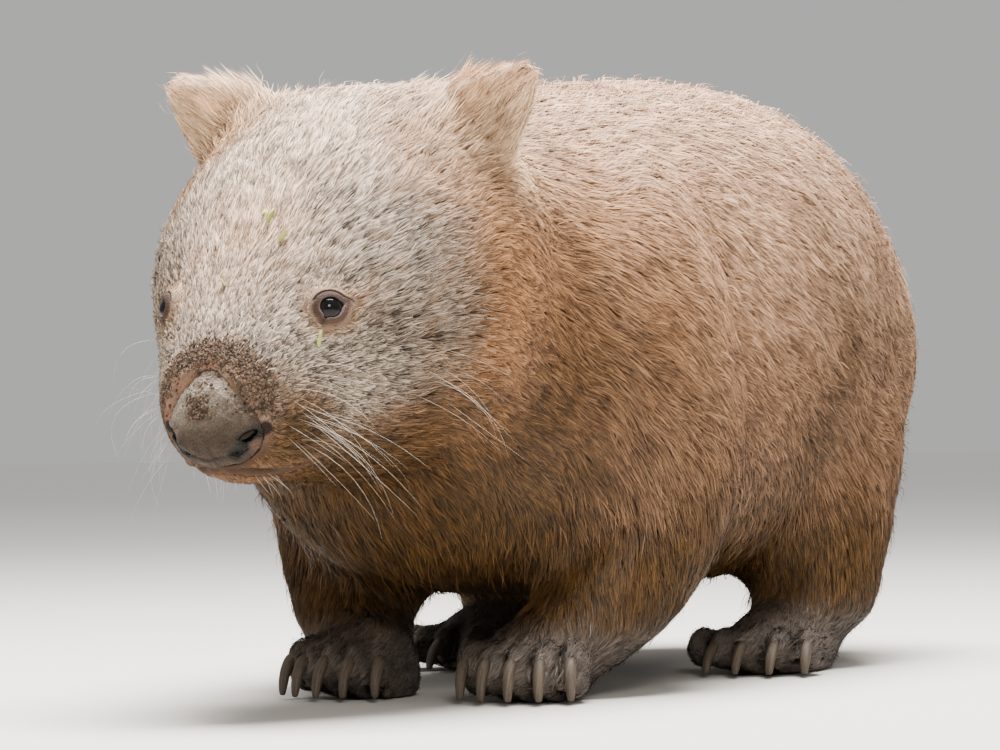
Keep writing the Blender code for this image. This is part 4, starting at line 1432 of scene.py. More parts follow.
class Unwrap:
    """A flat layout of a simpler copy of the skin, piece by piece, that tufts take their places from."""

    def __init__(self, skin: bpy.types.Object, weigh: Callable[[np.ndarray], np.ndarray], faces: int) -> None:
        """Unwraps each coat piece's own share of the skin.

        Args:
            skin: The finished skin.
            weigh: Gives each place its zone's number.
            faces: About how many faces the simpler copy has.
        """
        simple = bpy.data.objects.new("unwrap", skin.data.copy())
        bpy.context.scene.collection.objects.link(simple)
        fewer = simple.modifiers.new("fewer", "DECIMATE")
        fewer.ratio = faces / len(simple.data.polygons)
        simple = settled(simple)
        places = read_vertices(simple.data)
        triangles = read_triangles(simple.data)
        bpy.data.objects.remove(simple)
        middles = places[triangles].mean(axis=1)
        owner = piece_of(weigh(middles), middles)
        self.trees: dict[int, BVHTree] = {}
        self.corners: dict[int, np.ndarray] = {}
        self.flats: dict[int, np.ndarray] = {}
        for index, _ in enumerate(PieceName):
            chosen = triangles[owner == index]
            self._lay(index, places, chosen)

    def _lay(self, index: int, places: np.ndarray, chosen: np.ndarray) -> None:
        """Unwraps one piece's triangles and keeps their flat corners."""
        used, renamed = np.unique(chosen, return_inverse=True)
        triangles = renamed.reshape(-1, 3)
        mesh = from_arrays("unwrap_piece", places[used], triangles)
        obj = new_object("unwrap_piece", mesh)
        bpy.context.view_layer.objects.active = obj
        mesh.uv_layers.new(name="OFBake")
        bpy.ops.object.mode_set(mode="EDIT")
        bpy.ops.mesh.select_all(action="SELECT")
        bpy.ops.uv.smart_project(angle_limit=math.radians(66), island_margin=0.004)
        bpy.ops.object.mode_set(mode="OBJECT")
        flat = np.empty(len(mesh.loops) * 2)
        mesh.uv_layers["OFBake"].uv.foreach_get("vector", flat)
        self.corners[index] = places[used][triangles]
        self.flats[index] = flat.reshape(-1, 3, 2)
        self.trees[index] = BVHTree.FromPolygons(places[used].tolist(), triangles.tolist())
        bpy.data.objects.remove(obj)
        bpy.data.meshes.remove(mesh)

    def place(self, index: int, middles: np.ndarray, back: np.ndarray, roots: np.ndarray) -> np.ndarray:
        """The flat place of each root.

        Args:
            index: The coat piece.
            middles: The middles of the skin triangles that carry its roots.
            back: For each root, its skin triangle's place in middles.
            roots: The roots.

        Returns:
            One flat place for each root.
        """
        tree = self.trees[index]
        nearest = np.array([tree.find_nearest(row)[2] for row in middles])[back]
        corners = self.corners[index][nearest]
        flats = self.flats[index][nearest]
        first = corners[:, 1] - corners[:, 0]
        second = corners[:, 2] - corners[:, 0]
        away = roots - corners[:, 0]
        a, b, c = (first * first).sum(1), (first * second).sum(1), (second * second).sum(1)
        d, e = (away * first).sum(1), (away * second).sum(1)
        det = np.maximum(a * c - b * b, 1e-18)
        u = ((c * d - b * e) / det)[:, None]
        v = ((a * e - b * d) / det)[:, None]
        low, high = -0.3, 1.3
        u, v = np.clip(u, low, high), np.clip(v, low, high)
        return flats[:, 0] * (1 - u - v) + flats[:, 1] * u + flats[:, 2] * v


@dataclass
class Coat:
    """The coat: thin tapered tufts that follow the lie, rooted on the skin."""

    marks: Landmarks
    skin_maker: Skin
    total: int = 735000
    patch: float = 0.003
    widest: float = 0.34
    softness: float = 0.60
    seed: int = 7

    def build(self, skin: bpy.types.Object) -> list[bpy.types.Object]:
        """All coat pieces over a skin."""
        plan = self._plan(skin)
        weigh = self._zone_reader(plan)
        flat = Unwrap(skin, weigh, 9000)
        finish = FurFinish().build()
        owner, roots = self._rooted(plan)
        made = []
        for index, piece in enumerate(PieceName):
            chosen = roots[owner == index]
            if len(chosen):
                made.append(self._piece(piece, index, plan, chosen, flat, finish))
        return made

    def _plan(self, skin: bpy.types.Object) -> CoatPlan:
        """Works out every field that the tufts need on the skin's vertices."""
        mesh = skin.data
        places = read_vertices(mesh)
        normals = read_normals(mesh)
        triangles = read_triangles(mesh)
        web = Web(read_edges(mesh), len(places))
        sharp = self.skin_maker.weights(places, None)
        table = web.eased(sharp, 26)
        table /= table.sum(axis=1, keepdims=True)
        sizes = table @ np.array([STYLES[zone].row() for zone in Zone])
        markings = Markings(self.marks)
        bare = markings.bare(places)
        away = np.linalg.norm(places - self.marks.nose, axis=1)
        near = 1.0 - ramp(away, 0.040, 0.085)
        sizes[:, 0] *= 1.0 - 0.45 * near
        for centre, out in zip(self.marks.eyes, self.marks.outward):
            gap = np.linalg.norm(places - centre, axis=1)
            sizes[:, 0] *= 1.0 - 0.50 * (1.0 - ramp(gap, 0.012, 0.032))
            sizes[:, 2] *= 1.0 - 0.45 * (1.0 - ramp(gap, 0.014, 0.026))
        folded = np.column_stack([np.abs(places[:, 0]), places[:, 1:]])
        tuft = bell(folded, (0.062, -0.250, 0.366), (0.040, 0.042, 0.030))
        sizes[:, 0] *= 1.0 + 1.20 * tuft
        sizes[:, 2] *= 1.0 + 0.75 * tuft
        chest = bell(places, (0.0, -0.22, 0.11), (0.13, 0.09, 0.06))
        belly = ramp(-normals[:, 2], 0.3, 0.9) * ramp(places[:, 2], 0.03, 0.06)
        sizes[:, 0] *= 1.0 + 0.45 * chest + 0.15 * belly
        sizes[:, 2] *= 1.0 + 0.35 * chest
        sizes[:, 0] *= ramp(places[:, 2], -0.006, 0.010)
        bare = np.maximum(bare, 1.0 - ramp(places[:, 2], 0.0012, 0.0040))
        bare = np.maximum(bare, ramp(-normals[:, 2], 0.80, 0.95) * (places[:, 2] < 0.006))
        ears = table[:, Zone.EAR.value]
        facing = unit(np.stack([-0.25 * np.sign(places[:, 0]), np.full(len(places), -0.95),
                                np.full(len(places), -0.15)], axis=1))
        rim = ears * ramp(1.0 - np.abs((normals * facing).sum(axis=1)), 0.40, 0.85)
        sizes[:, 0] *= 1.0 + 0.22 * rim
        sizes[:, 2] *= 1.0 + 0.12 * rim
        flow = Lie(self.marks).at(places, normals, ears)
        tree = BVHTree.FromPolygons(places.tolist(), triangles.tolist())
        zone = sharp.argmax(axis=1)
        return CoatPlan(places, normals, triangles, sizes, flow, bare, zone, tree)

    @staticmethod
    def _zone_reader(plan: CoatPlan) -> Callable[[np.ndarray], np.ndarray]:
        """A function that gives each place the zone of the nearest skin triangle."""
        def read(places: np.ndarray) -> np.ndarray:
            """The zones' numbers."""
            found = [plan.tree.find_nearest(row)[2] for row in places]
            return plan.zone[plan.triangles[found][:, 0]]
        return read

    def _rooted(self, plan: CoatPlan) -> tuple[np.ndarray, np.ndarray]:
        """Chooses the skin triangle of every tuft.

        Args:
            plan: The coat's plan.

        Returns:
            The piece of each tuft, and its skin triangle.
        """
        corners = plan.places[plan.triangles]
        area = np.linalg.norm(np.cross(corners[:, 1] - corners[:, 0], corners[:, 2] - corners[:, 0]), axis=1) / 2
        density = plan.sizes[:, 3][plan.triangles].mean(axis=1)
        covered = 1.0 - plan.bare[plan.triangles].mean(axis=1)
        wanted = area * density * covered**1.5
        count = int(self.total * (1.0))
        rng = np.random.default_rng(self.seed)
        steps = (np.arange(count) + rng.uniform(size=count)) / count
        chosen = np.searchsorted(np.cumsum(wanted) / wanted.sum(), steps)
        chosen = np.minimum(chosen, len(wanted) - 1)
        middles = corners.mean(axis=1)
        owner = piece_of(plan.zone[plan.triangles[:, 0]], middles)
        return owner[chosen], chosen

    def _piece(self, piece: PieceName, index: int, plan: CoatPlan, chosen: np.ndarray, flat: Unwrap,
               finish: bpy.types.Material) -> bpy.types.Object:
        """One piece of the coat.

        Args:
            piece: Which piece.
            index: Its place in PieceName.
            plan: The coat's plan.
            chosen: The skin triangle of each of its tufts.
            flat: The unwrap.
            finish: The fur's material.

        Returns:
            The dressed piece.
        """
        rng = np.random.default_rng(self.seed + 100 + index)
        count = len(chosen)
        share = rng.uniform(size=(count, 2))
        over = share.sum(axis=1) > 1.0
        share[over] = 1.0 - share[over]
        mixed = np.concatenate([share, 1.0 - share.sum(axis=1, keepdims=True)], axis=1)
        corners = plan.triangles[chosen]

        def carried(values: np.ndarray) -> np.ndarray:
            """A vertex field carried to the roots."""
            return np.einsum("ij,ijk->ik", mixed, values[corners])

        roots = carried(plan.places)
        normals = unit(carried(plan.normals))
        flow = across(carried(plan.flow), normals)
        sizes = carried(plan.sizes)
        turn = rng.normal(scale=0.17, size=(count, 1))
        flow = unit(flow + np.cross(normals, flow) * turn)
        stray = rng.uniform(size=count)
        length = sizes[:, 0] * rng.uniform(0.62, 1.18, count) * np.where(stray > 0.985, 1.35, 1.0)
        lift = sizes[:, 2] * rng.uniform(0.35, 1.35, count) + np.where(stray > 0.975, 0.35, 0.0)
        width = sizes[:, 1] * rng.uniform(0.70, 1.25, count)
        rise = np.sin(lift) * length
        tips = roots + flow * (np.cos(lift) * length)[:, None] + normals * rise[:, None]
        tips = self._settle(plan, tips, 0.62 * rise)
        tips, pick = self._clumped(roots, tips, sizes[:, 4], length, rng)
        tips[:, 2] = np.maximum(tips[:, 2], 0.0012)
        spine = tips - roots
        middles = roots + spine * self.widest + normals * (0.09 * length + 0.14 * rise)[:, None]
        roots = roots - normals * 0.0004
        middles[:, 2] = np.maximum(middles[:, 2], 0.0012)
        roll = rng.normal(scale=0.28, size=(count, 1))
        side = across(np.cross(unit(spine), normals), unit(spine))
        side = unit(side * np.cos(roll) + normals * np.sin(roll)) * (width / 2.0)[:, None]
        places = np.stack([roots, middles - side, middles + side, tips], axis=1)
        base = np.arange(count)[:, None] * 4
        triangles = np.concatenate([base + (0, 1, 2), base + (1, 3, 2)], axis=1).reshape(-1, 3)
        facing = np.cross(places[:, 1] - places[:, 0], places[:, 2] - places[:, 0])
        flip = (facing * normals).sum(axis=1) < 0.0
        places[flip] = places[flip][:, (0, 2, 1, 3)]
        facing[flip] *= -1.0
        mesh = from_arrays(piece.value, places.reshape(-1, 3), triangles)
        leaning = unit(unit(facing) * (1.0 - self.softness) + normals * self.softness)
        add_vectors(mesh, "custom_normal", np.repeat(leaning, 4, axis=0))
        used, back = np.unique(chosen, return_inverse=True)
        spots = flat.place(index, plan.places[plan.triangles[used]].mean(axis=1), back, roots)
        shaken = roots + rng.normal(size=roots.shape) * (0.36 * length)[:, None]
        self._dress(mesh, shaken, spots, pick, rng)
        made = new_object(piece.value, mesh)
        return dressed(made, PIECE_SLOTS.get(piece, "body_coat"), finish)

    @staticmethod
    def _settle(plan: CoatPlan, tips: np.ndarray, wanted: np.ndarray) -> np.ndarray:
        """Brings each tip to its height over the skin under it, so that the coat follows every curve.

        Args:
            plan: The coat's plan.
            tips: The tips.
            wanted: Their heights over the skin.

        Returns:
            The moved tips.
        """
        found = [plan.tree.find_nearest(row)[:2] for row in tips]
        under = np.array([row[0] for row in found])
        normal = np.array([row[1] for row in found])
        height = ((tips - under) * normal).sum(axis=1)
        return tips + normal * np.clip(wanted - height, -0.006, 0.008)[:, None]

    @staticmethod
    def _clumped(roots: np.ndarray, tips: np.ndarray, hold: np.ndarray, length: np.ndarray,
                 rng: np.random.Generator) -> tuple[np.ndarray, np.ndarray]:
        """Draws neighbouring tips together into locks.

        Args:
            roots: The roots.
            tips: The tips.
            hold: How strongly each is drawn.
            length: The tufts' lengths.
            rng: The random draw.

        Returns:
            The moved tips, and one random number for each tuft's lock.
        """
        every = 16
        leaders = rng.permutation(len(roots))[: max(1, len(roots) // every)]
        tree = KDTree(len(leaders))
        for order, leader in enumerate(leaders):
            tree.insert(roots[leader], order)
        tree.balance()
        mine = leaders[np.array([tree.find(row)[1] for row in roots])]
        apart = np.linalg.norm(roots - roots[mine], axis=1)
        near = hold * np.clip(1.5 - apart / np.maximum(length, 1e-4), 0.0, 1.0)
        moved = tips + (tips[mine] - tips) * near[:, None]
        return moved, rng.uniform(size=len(roots))[mine]

    def _dress(self, mesh: bpy.types.Mesh, roots: np.ndarray, spots: np.ndarray, clump: np.ndarray,
               rng: np.random.Generator) -> None:
        """Stores the markings, the strand values and the patch layout of a coat mesh."""
        count = len(roots)
        for name, rows in zip(("warm", "cool"), Markings(self.marks).three(roots)):
            add_vectors(mesh, name, np.repeat(rows, 4, axis=0))
        along = np.tile((0.0, self.widest, self.widest, 1.0), count)
        pick = np.repeat(rng.uniform(size=count), 4)
        add_vectors(mesh, "strand", np.stack([along, pick, np.repeat(clump, 4)], axis=1))
        offsets = np.array(((0.0, -0.5), (-0.5, -0.08), (0.5, -0.08), (0.0, 0.5))) * self.patch
        corners = (spots[:, None, :] + offsets[None]).reshape(-1, 2)
        index = np.empty(len(mesh.loops), dtype=np.int32)
        mesh.loops.foreach_get("vertex_index", index)
        layer = mesh.uv_layers.new(name="OFBake")
        layer.uv.foreach_set("vector", np.clip(corners[index], 0.0, 1.0).astype(np.float32).ravel())


@dataclass
class Eyes:
    """Two wet dark eyeballs, each with the slight swell of the cornea."""

    marks: Landmarks
    rings: int = 32
    segments: int = 48
    cornea: float = 0.0006

    def build(self) -> list[bpy.types.Object]:
        """Both eyes."""
        finish = EyeFinish().build()
        made = []
        for side, centre, out in zip(SIDES, self.marks.eyes, self.marks.outward):
            bm = bmesh.new()
            bmesh.ops.create_uvsphere(
                bm, u_segments=self.segments, v_segments=self.rings, radius=self.marks.eye_radius
            )
            turn = Vector(out).to_track_quat("Z", "Y").to_matrix().to_4x4()
            gaze = []
            for vertex in bm.verts:
                front = vertex.co.z / self.marks.eye_radius
                gaze.append(math.acos(max(-1.0, min(1.0, front))) / (math.pi / 2.0))
                vertex.co.z += self.cornea * max(0.0, front) ** 6
            bmesh.ops.transform(bm, matrix=Matrix.Translation(Vector(centre)) @ turn, verts=bm.verts)
            mesh = bpy.data.meshes.new(f"ball_{side}")
            bm.to_mesh(mesh)
            bm.free()
            rows = np.zeros((len(gaze), 3))
            rows[:, 0] = gaze
            add_vectors(mesh, "gaze", rows)
            made.append(dressed(new_object(f"ball_{side}", mesh), "eye", finish, f"eye_{side}"))
        return made


@dataclass
class NosePad:
    """The broad leathery nose pad with its nostrils and the lobes over them."""

    marks: Landmarks
    slit_width: float = 0.0023
    slit_depth: float = 0.0052
    flat: tuple[float, float, float] = NOSTRIL_FLAT
    half_slit: tuple[tuple[float, float, float], ...] = NOSTRIL
    half_base: tuple[tuple[float, float, float], ...] = (
        (0.0, -0.4140, 0.1520), (0.0080, -0.4150, 0.1535), (0.0160, -0.4150, 0.1568),
    )
    lobe: tuple[float, float, float] = (0.0148, -0.4180, 0.1634)

    def build(self) -> bpy.types.Object:
        """The nose pad, in place of its node."""
        bm = copied_node("nose")
        mesh = bpy.data.meshes.new("nose_pad")
        bm.to_mesh(mesh)
        bm.free()
        pad = new_object("nose_pad", mesh)
        finer = pad.modifiers.new("finer", "REMESH")
        finer.mode = "VOXEL"
        finer.voxel_size = 0.0008
        ease = pad.modifiers.new("ease", "SMOOTH")
        ease.factor = 0.5
        ease.iterations = 8
        pad = settled(pad)
        mesh = pad.data
        places = read_vertices(mesh)
        normals = read_normals(mesh)
        slit = np.array(self.half_slit)
        gap = np.full(len(places), np.inf)
        lobe = np.zeros(len(places))
        base = np.full(len(places), np.inf)
        for sign in (1, -1):
            gap = np.minimum(gap, line_distance(places * self.flat, ROLL.turn(slit * (sign, 1, 1)) * self.flat))
            base = np.minimum(base, line_distance(places, ROLL.turn(np.array(self.half_base) * (sign, 1, 1))))
            lobe += bell(places, ROLL.turn(np.array(self.lobe) * (sign, 1, 1))[0], (0.0056, 0.0060, 0.0052))
        pit = np.exp(-((gap / self.slit_width) ** 2))
        seam = np.exp(-((base / 0.0013) ** 2))
        rim = np.exp(-(((gap - 0.0042) / 0.0018) ** 2))
        coarse = Ripple(seed=31, wavelength=0.010).at(places)
        fine = Ripple(seed=32, wavelength=0.0032, waves=12).at(places)
        groove = np.exp(-((places[:, 0] / 0.0009) ** 2)) * (1.0 - ramp(places[:, 2], 0.157, 0.166))
        move = 0.0006 * rim + 0.0014 * lobe - 0.0016 * seam
        move = move + 0.00045 * coarse + 0.00022 * fine - 0.0008 * groove
        places = places + normals * move[:, None]
        places[:, 1] += self.slit_depth * pit * (1.0 - 0.62 * ramp(np.abs(places[:, 0]), 0.017, 0.026))
        write_vertices(mesh, places)
        # Painted shade: 1 towards the lower part of the pad.
        low = 1.0 - ramp(places[:, 2] - 0.25 * places[:, 0], 0.162, 0.196)
        # The nostril slits and the seam: moist, and darkened as painted shade.
        moist = np.maximum(ramp(pit, 0.02, 0.30), 0.8 * seam)
        add_vectors(mesh, "pad", np.stack([moist, low, np.clip(lobe, 0.0, 1.0)], axis=1))
        marks = Markings(self.marks)
        patch = 1.1 * bell(places, (-0.0055, -0.4240, 0.1815), (0.0060, 0.0200, 0.0085))
        edge = ramp(places[:, 2] + 0.45 * places[:, 0], 0.178, 0.196) * ramp(
            np.linalg.norm(places - self.marks.nose, axis=1), 0.021, 0.029)
        stain = np.clip(np.maximum(patch, edge) * (0.9 + 0.3 * marks.speck.at(places)), 0.0, 1.0)
        wing = ramp(np.abs(places[:, 0]), 0.019, 0.026) * (1.0 - ramp(places[:, 2], 0.158, 0.172))
        add_vectors(mesh, "soiled", np.stack([stain, wing, wing], axis=1))
        return dressed(pad, "nose_skin", NoseFinish().build(), "nose")


@dataclass
class Claws:
    """The long blunt digging claws, one piece for each foot."""

    levels: int = 2

    def build(self) -> list[bpy.types.Object]:
        """The claws of all four feet."""
        finish = HornFinish().build()
        made = []
        for foot in FEET:
            for side in SIDES:
                made.append(self._foot(f"claws_{foot}_{side}", claw_names(foot, side), finish))
        return made

    def _foot(self, title: str, names: Sequence[str], finish: bpy.types.Material) -> bpy.types.Object:
        """The claws of one foot.

        Args:
            title: The piece's name.
            names: The CAD nodes that it stands for.
            finish: The horn.

        Returns:
            The dressed piece.
        """
        joined = bmesh.new()
        for name in names:
            part = copied_node(name)
            mesh = bpy.data.meshes.new("claw_part")
            part.to_mesh(mesh)
            part.free()
            joined.from_mesh(mesh)
            bpy.data.meshes.remove(mesh)
        mesh = bpy.data.meshes.new(title)
        joined.to_mesh(mesh)
        joined.free()
        claws = new_object(title, mesh)
        finer = claws.modifiers.new("finer", "SUBSURF")
        finer.levels = self.levels
        finer.render_levels = self.levels
        claws = settled(claws)
        self._mark(claws.data, names)
        return dressed(claws, "claw", finish, *names)

    @staticmethod
    def _mark(mesh: bpy.types.Mesh, names: Sequence[str]) -> None:
        """Stores how far along and across its claw each vertex lies."""
        places = read_vertices(mesh)
        rows = np.zeros((len(places), 3))
        boxes = [tuple(np.array(corner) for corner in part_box(name)) for name in names]
        middles = np.array([(low + high) / 2.0 for low, high in boxes])
        owner = np.linalg.norm(places[:, None] - middles[None], axis=2).argmin(axis=1)
        for index, (low, high) in enumerate(boxes):
            mine = owner == index
            rows[mine, 0] = (high[1] - places[mine, 1]) / (high[1] - low[1])
            rows[mine, 1] = (places[mine, 0] - low[0]) / (high[0] - low[0])
            rows[mine, 2] = index / len(names)
        add_vectors(mesh, "horn", rows)


@dataclass
class Whiskers:
    """Stiff tapered bristles on the lips, cheeks, brows and chin."""

    marks: Landmarks
    stations: int = 9
    sides: int = 4
    thickness: float = 0.000075
    seed: int = 41
    beds: tuple[tuple[tuple[float, float, float], tuple[float, float, float], int, float], ...] = (
        ((0.0440, -0.3960, 0.1880), (0.0060, 0.0100, 0.0160), 12, 0.074),
        ((0.0430, -0.3920, 0.1700), (0.0060, 0.0120, 0.0140), 14, 0.070),
        ((0.0890, -0.3160, 0.2050), (0.0100, 0.0220, 0.0200), 9, 0.066),
        ((0.0400, -0.3720, 0.2680), (0.0060, 0.0080, 0.0050), 2, 0.026),
        ((0.0150, -0.3820, 0.1420), (0.0180, 0.0090, 0.0030), 10, 0.016),
    )

    def build(self, skin: bpy.types.Object) -> bpy.types.Object:
        """All whiskers as one piece."""
        tree = BVHTree.FromPolygons(
            read_vertices(skin.data).tolist(), read_triangles(skin.data).tolist()
        )
        rng = np.random.default_rng(self.seed)
        places: list[np.ndarray] = []
        values: list[np.ndarray] = []
        for centre, spread, count, length in self.beds:
            for sign in (1, -1):
                for _ in range(count):
                    spot = np.array(centre) + rng.uniform(-1.0, 1.0, 3) * spread
                    spot = ROLL.turn(spot * (sign, 1, 1))[0]
                    root, normal, _, _ = tree.find_nearest(spot)
                    reach = length * rng.uniform(0.55, 1.25)
                    places.append(self._bristle(np.array(root), np.array(normal), sign, reach, rng))
                    along = np.repeat(np.linspace(0.0, 1.0, self.stations), self.sides)
                    pick = np.full(len(along), rng.uniform())
                    values.append(np.stack([along, pick, pick], axis=1))
        mesh = from_arrays("whiskers", np.concatenate(places), self._faces(len(places)))
        add_vectors(mesh, "strand", np.concatenate(values))
        return dressed(new_object("whiskers", mesh), "face_coat", WhiskerFinish().build())

    def _bristle(self, root: np.ndarray, normal: np.ndarray, sign: int, reach: float,
                 rng: np.random.Generator) -> np.ndarray:
        """The rings of one bristle.

        Args:
            root: Where it leaves the skin.
            normal: The skin's normal there.
            sign: 1 on the left, -1 on the right.
            reach: Its length.
            rng: The random draw.

        Returns:
            The vertices, ring by ring.
        """
        back = np.array((0.30 * sign, 1.0, -0.22))
        start = unit(normal * 0.75 + back * 0.75 + rng.normal(scale=0.22, size=3))
        end = unit(back + np.array((0.0, 0.0, -0.85)) + normal * 0.25 + rng.normal(scale=0.34, size=3))
        share = np.linspace(0.0, 1.0, self.stations)[:, None]
        heading = unit(start * (1.0 - share) + end * share)
        step = reach / (self.stations - 1)
        spine = root - normal * 0.001 + np.concatenate([np.zeros((1, 3)), np.cumsum(heading[:-1] * step, axis=0)])
        side = unit(np.cross(heading, np.array((0.0, 0.0, 1.0)) + 0.3 * normal))
        lift = np.cross(heading, side)
        angle = np.arange(self.sides) * 2.0 * math.pi / self.sides
        radius = self.thickness * (1.0 - 0.80 * share[:, :, None])
        ring = np.cos(angle)[None, :, None] * side[:, None] + np.sin(angle)[None, :, None] * lift[:, None]
        return (spine[:, None] + ring * radius).reshape(-1, 3)

    def _faces(self, count: int) -> np.ndarray:
        """The triangles of all bristles, walls and both ends."""
        first: list[tuple[int, int, int]] = []
        for row in range(self.stations - 1):
            for turn in range(self.sides):
                a = row * self.sides + turn
                b = row * self.sides + (turn + 1) % self.sides
                first += [(a, a + self.sides, b), (b, a + self.sides, b + self.sides)]
        last = (self.stations - 1) * self.sides
        for turn in range(1, self.sides - 1):
            first += [(0, turn, turn + 1), (last, last + turn + 1, last + turn)]
        size = self.stations * self.sides
        return (np.array(first)[None] + np.arange(count)[:, None, None] * size).reshape(-1, 3)


@dataclass
class Crumbs:
    """Crumbs of soil on and round the nose pad, and bits of leaf in the coat."""

    marks: Landmarks
    seed: int = 51
    ring: int = 4200
    patch: int = 420
    strewn: int = 150
    grain: float = 0.00140
    outer: float = 0.0370
    flecks: tuple[tuple[float, float, float], ...] = (
        (0.0513, -0.3821, 0.2211), (-0.0085, -0.3857, 0.2546), (0.0029, -0.3586, 0.2962),
        (0.0085, -0.3590, 0.2930), (0.0200, -0.3640, 0.2790),
    )

    def build(self, skin: bpy.types.Object, pad: bpy.types.Object) -> list[bpy.types.Object]:
        """The soil and the flecks."""
        rng = np.random.default_rng(self.seed)
        surfaces = (self._tree(skin), self._tree(pad))
        fallen = (self._ring_spots(rng), self._patch_spots(rng), self._bridge_spots(rng))
        spots = self._fallen(surfaces, np.concatenate(fallen))
        sizes = rng.uniform(0.32, 1.0, len(spots)) ** 2 * self.grain
        soil = self._scattered("nose_soil", spots, sizes, (1.0, 1.0, 0.8), rng)
        leaf = self._on(surfaces[0], np.array(self.flecks), 0.0052)
        green = self._scattered("leaf_flecks", leaf, rng.uniform(0.0044, 0.0066, len(leaf)), (1.0, 0.42, 0.16), rng)
        return [
            dressed(soil, "nose_skin", SoilFinish().build()),
            dressed(green, "face_coat", FleckFinish().build()),
        ]

    def _ring_spots(self, rng: np.random.Generator) -> np.ndarray:
        """Places in the ring over the top and the left of the pad, thickest at its outer edge."""
        angle = rng.normal(math.radians(58), math.radians(48), self.ring)
        rise = np.clip(np.sin(angle), 0.0, 1.0)
        outer = self.outer + 0.0060 * rise
        reach = outer - np.abs(rng.normal(0.0, 0.0064, self.ring)) + rng.normal(0.0, 0.0034, self.ring)
        nose = self.marks.nose
        return np.stack([
            nose[0] + np.cos(angle) * reach, np.full(self.ring, nose[1]), nose[2] + np.sin(angle) * reach,
        ], axis=1)

    def _bridge_spots(self, rng: np.random.Generator) -> np.ndarray:
        """Places strewn thinly over the bridge of the nose and the brow."""
        spots = rng.normal(size=(self.strewn, 3)) * (0.0200, 0.0, 0.0240)
        return spots + np.array((0.0080, -0.430, 0.2360))

    def _patch_spots(self, rng: np.random.Generator) -> np.ndarray:
        """Places in the patch on the front of the pad."""
        spots = rng.normal(size=(self.patch, 3)) * (0.0042, 0.0, 0.0062)
        return spots + np.array((-0.0055, -0.430, 0.1815))

    @staticmethod
    def _tree(obj: bpy.types.Object) -> BVHTree:
        """A search tree of a piece's surface."""
        return BVHTree.FromPolygons(read_vertices(obj.data).tolist(), read_triangles(obj.data).tolist())

    @staticmethod
    def _fallen(surfaces: Sequence[BVHTree], spots: np.ndarray) -> np.ndarray:
        """Places moved back from in front of the nose to the first surface that they meet."""
        heading = Vector((0.0, 1.0, -0.12)).normalized()
        rows = []
        for spot in spots:
            start = Vector(spot) - heading * 0.10
            met = [tree.ray_cast(start, heading, 0.16) for tree in surfaces]
            hits = [(hit[3], hit[0]) for hit in met if hit[0] is not None]
            if hits and spot[2] > 0.1775 - 0.25 * max(0.0, spot[0] - 0.030):
                rows.append(min(hits, key=lambda hit: hit[0])[1])
        return np.array(rows)

    @staticmethod
    def _on(tree: BVHTree, spots: np.ndarray, lift: float) -> np.ndarray:
        """Places moved to the nearest place over a surface."""
        rows = []
        for spot in spots:
            place, normal, _, _ = tree.find_nearest(spot)
            rows.append(place + normal * lift)
        return np.array(rows)

    @staticmethod
    def _scattered(name: str, spots: np.ndarray, sizes: np.ndarray, shape: Sequence[float],
                   rng: np.random.Generator) -> bpy.types.Object:
        """Small rough grains, joined into one mesh.

        Args:
            name: The piece's name.
            spots: Their places.
            sizes: Their radii.
            shape: Their length, width and height, as shares of the radius.
            rng: The random draw.

        Returns:
            The piece.
        """
        bm = bmesh.new()
        bmesh.ops.create_icosphere(bm, subdivisions=1, radius=1.0)
        base = np.array([vertex.co for vertex in bm.verts])
        faces = np.array([[vertex.index for vertex in face.verts] for face in bm.faces])
        bm.free()
        count = len(spots)
        grains = base[None] * rng.uniform(0.65, 1.25, (count, len(base), 1)) * np.array(shape)
        turns = np.linalg.qr(rng.normal(size=(count, 3, 3)))[0]
        turns *= np.sign(np.linalg.det(turns))[:, None, None]
        places = np.einsum("nij,nkj->nki", turns, grains) * sizes[:, None, None] + spots[:, None]
        triangles = (faces[None] + (np.arange(count) * len(base))[:, None, None]).reshape(-1, 3)
        mesh = from_arrays(name, places.reshape(-1, 3), triangles)
        pick = np.repeat(rng.uniform(size=count), len(base))
        add_vectors(mesh, "crumb", np.stack([pick, pick, pick], axis=1))
        return new_object(name, mesh, Gathering.FLAT)


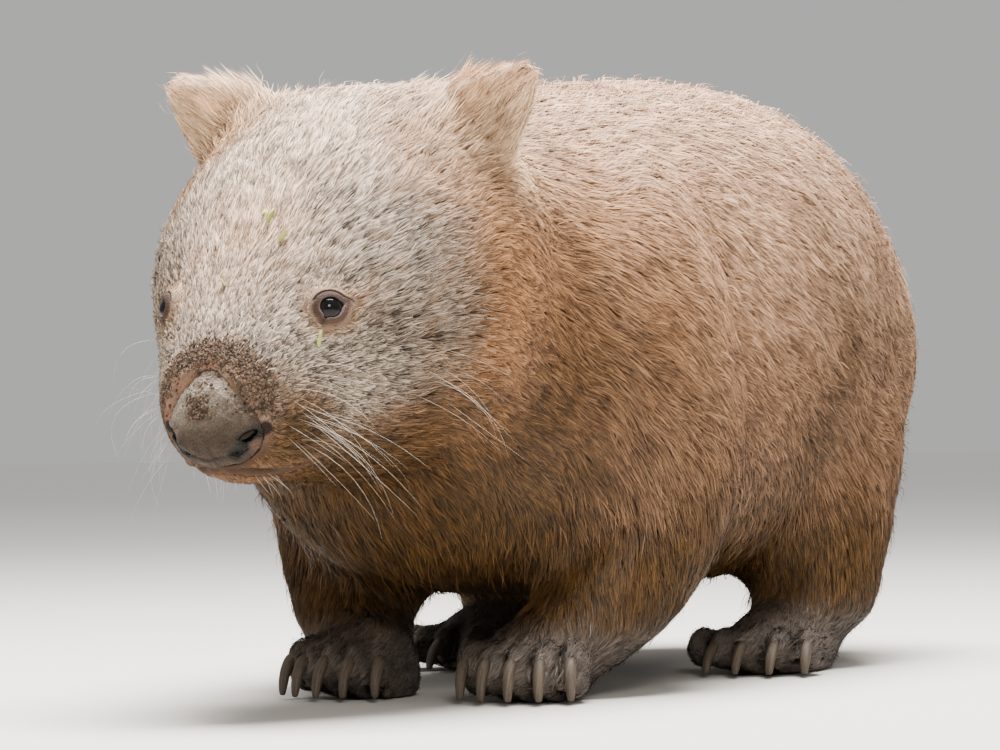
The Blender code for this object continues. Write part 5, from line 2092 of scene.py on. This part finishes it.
@dataclass
class Studio:
    """The camera, the pale floor and the soft lights."""

    target: tuple[float, float, float] = (0.0682, -0.1870, 0.2030)
    azimuth: float = math.radians(27.14)
    elevation: float = math.radians(-1.204)
    distance: float = 2.216
    roll: float = math.radians(0.822)
    lens: float = 128.7
    floor_size: float = 60.0

    def build(self) -> None:
        """Sets everything that isn't the animal."""
        self._camera()
        self._floor()
        self._area("key", (0.10, -0.10, 2.4), (0.0, -0.02, 0.25), 1.5, 515.0, (1.0, 0.985, 0.965))
        self._area("fill", (1.7, -2.5, 1.5), (0.0, -0.2, 0.25), 0.8, 60.0, (1.0, 0.97, 0.93))
        self._world()

    def _camera(self) -> None:
        """The camera at the photograph's place."""
        azimuth, elevation, roll = self.azimuth, self.elevation, self.roll
        back = Vector((
            math.sin(azimuth) * math.cos(elevation), -math.cos(azimuth) * math.cos(elevation), math.sin(elevation),
        ))
        right = Vector((math.cos(azimuth), math.sin(azimuth), 0.0))
        up = back.cross(right)
        across_view = right * math.cos(roll) - up * math.sin(roll)
        up_view = up * math.cos(roll) + right * math.sin(roll)
        data = bpy.data.cameras.new("camera")
        data.lens = self.lens
        data.sensor_width = 36.0
        data.clip_start = 0.05
        camera = bpy.data.objects.new("camera", data)
        turn = Matrix((across_view, up_view, back)).transposed().to_4x4()
        camera.matrix_world = Matrix.Translation(Vector(self.target) + back * self.distance) @ turn
        bpy.context.scene.collection.objects.link(camera)
        bpy.context.scene.camera = camera

    def _floor(self) -> None:
        """A wide floor at the soles."""
        bm = bmesh.new()
        bmesh.ops.create_grid(bm, x_segments=2, y_segments=2, size=self.floor_size)
        mesh = bpy.data.meshes.new("floor")
        bm.to_mesh(mesh)
        bm.free()
        floor = new_object("floor", mesh, Gathering.FLAT)
        floor.data.materials.append(FloorFinish().build())

    @staticmethod
    def _area(name: str, spot: Sequence[float], aim: Sequence[float], size: float, power: float,
              tint: Colour) -> None:
        """One square soft light.

        Args:
            name: The light's name.
            spot: Where it hangs.
            aim: What it looks at.
            size: The length of its side.
            power: Its power in watts.
            tint: Its colour.
        """
        data = bpy.data.lights.new(name, "AREA")
        data.shape = "SQUARE"
        data.size = size
        data.energy = power
        data.color = tint
        light = bpy.data.objects.new(name, data)
        light.location = spot
        light.rotation_euler = (Vector(aim) - Vector(spot)).to_track_quat("-Z", "Y").to_euler()
        bpy.context.scene.collection.objects.link(light)

    @staticmethod
    def _world() -> None:
        """An even pale surround."""
        world = bpy.data.worlds.new("studio")
        world.use_nodes = True
        sky = world.node_tree.nodes["Background"]
        sky.inputs["Color"].default_value = (0.88, 0.87, 0.86, 1.0)
        sky.inputs["Strength"].default_value = 0.58
        bpy.context.scene.world = world


def main() -> None:
    """Builds every sub-assembly in order."""
    logging.basicConfig(level=logging.INFO, format="%(name)s %(message)s")
    marks = Landmarks.read()
    Studio().build()
    skin_maker = Skin(marks)
    skin = skin_maker.build()
    Eyes(marks).build()
    pad = NosePad(marks).build()
    Claws().build()
    Coat(marks, skin_maker).build(skin)
    Whiskers(marks).build(skin)
    Crumbs(marks).build(skin, pad)


if __name__ == "__main__":
    main()
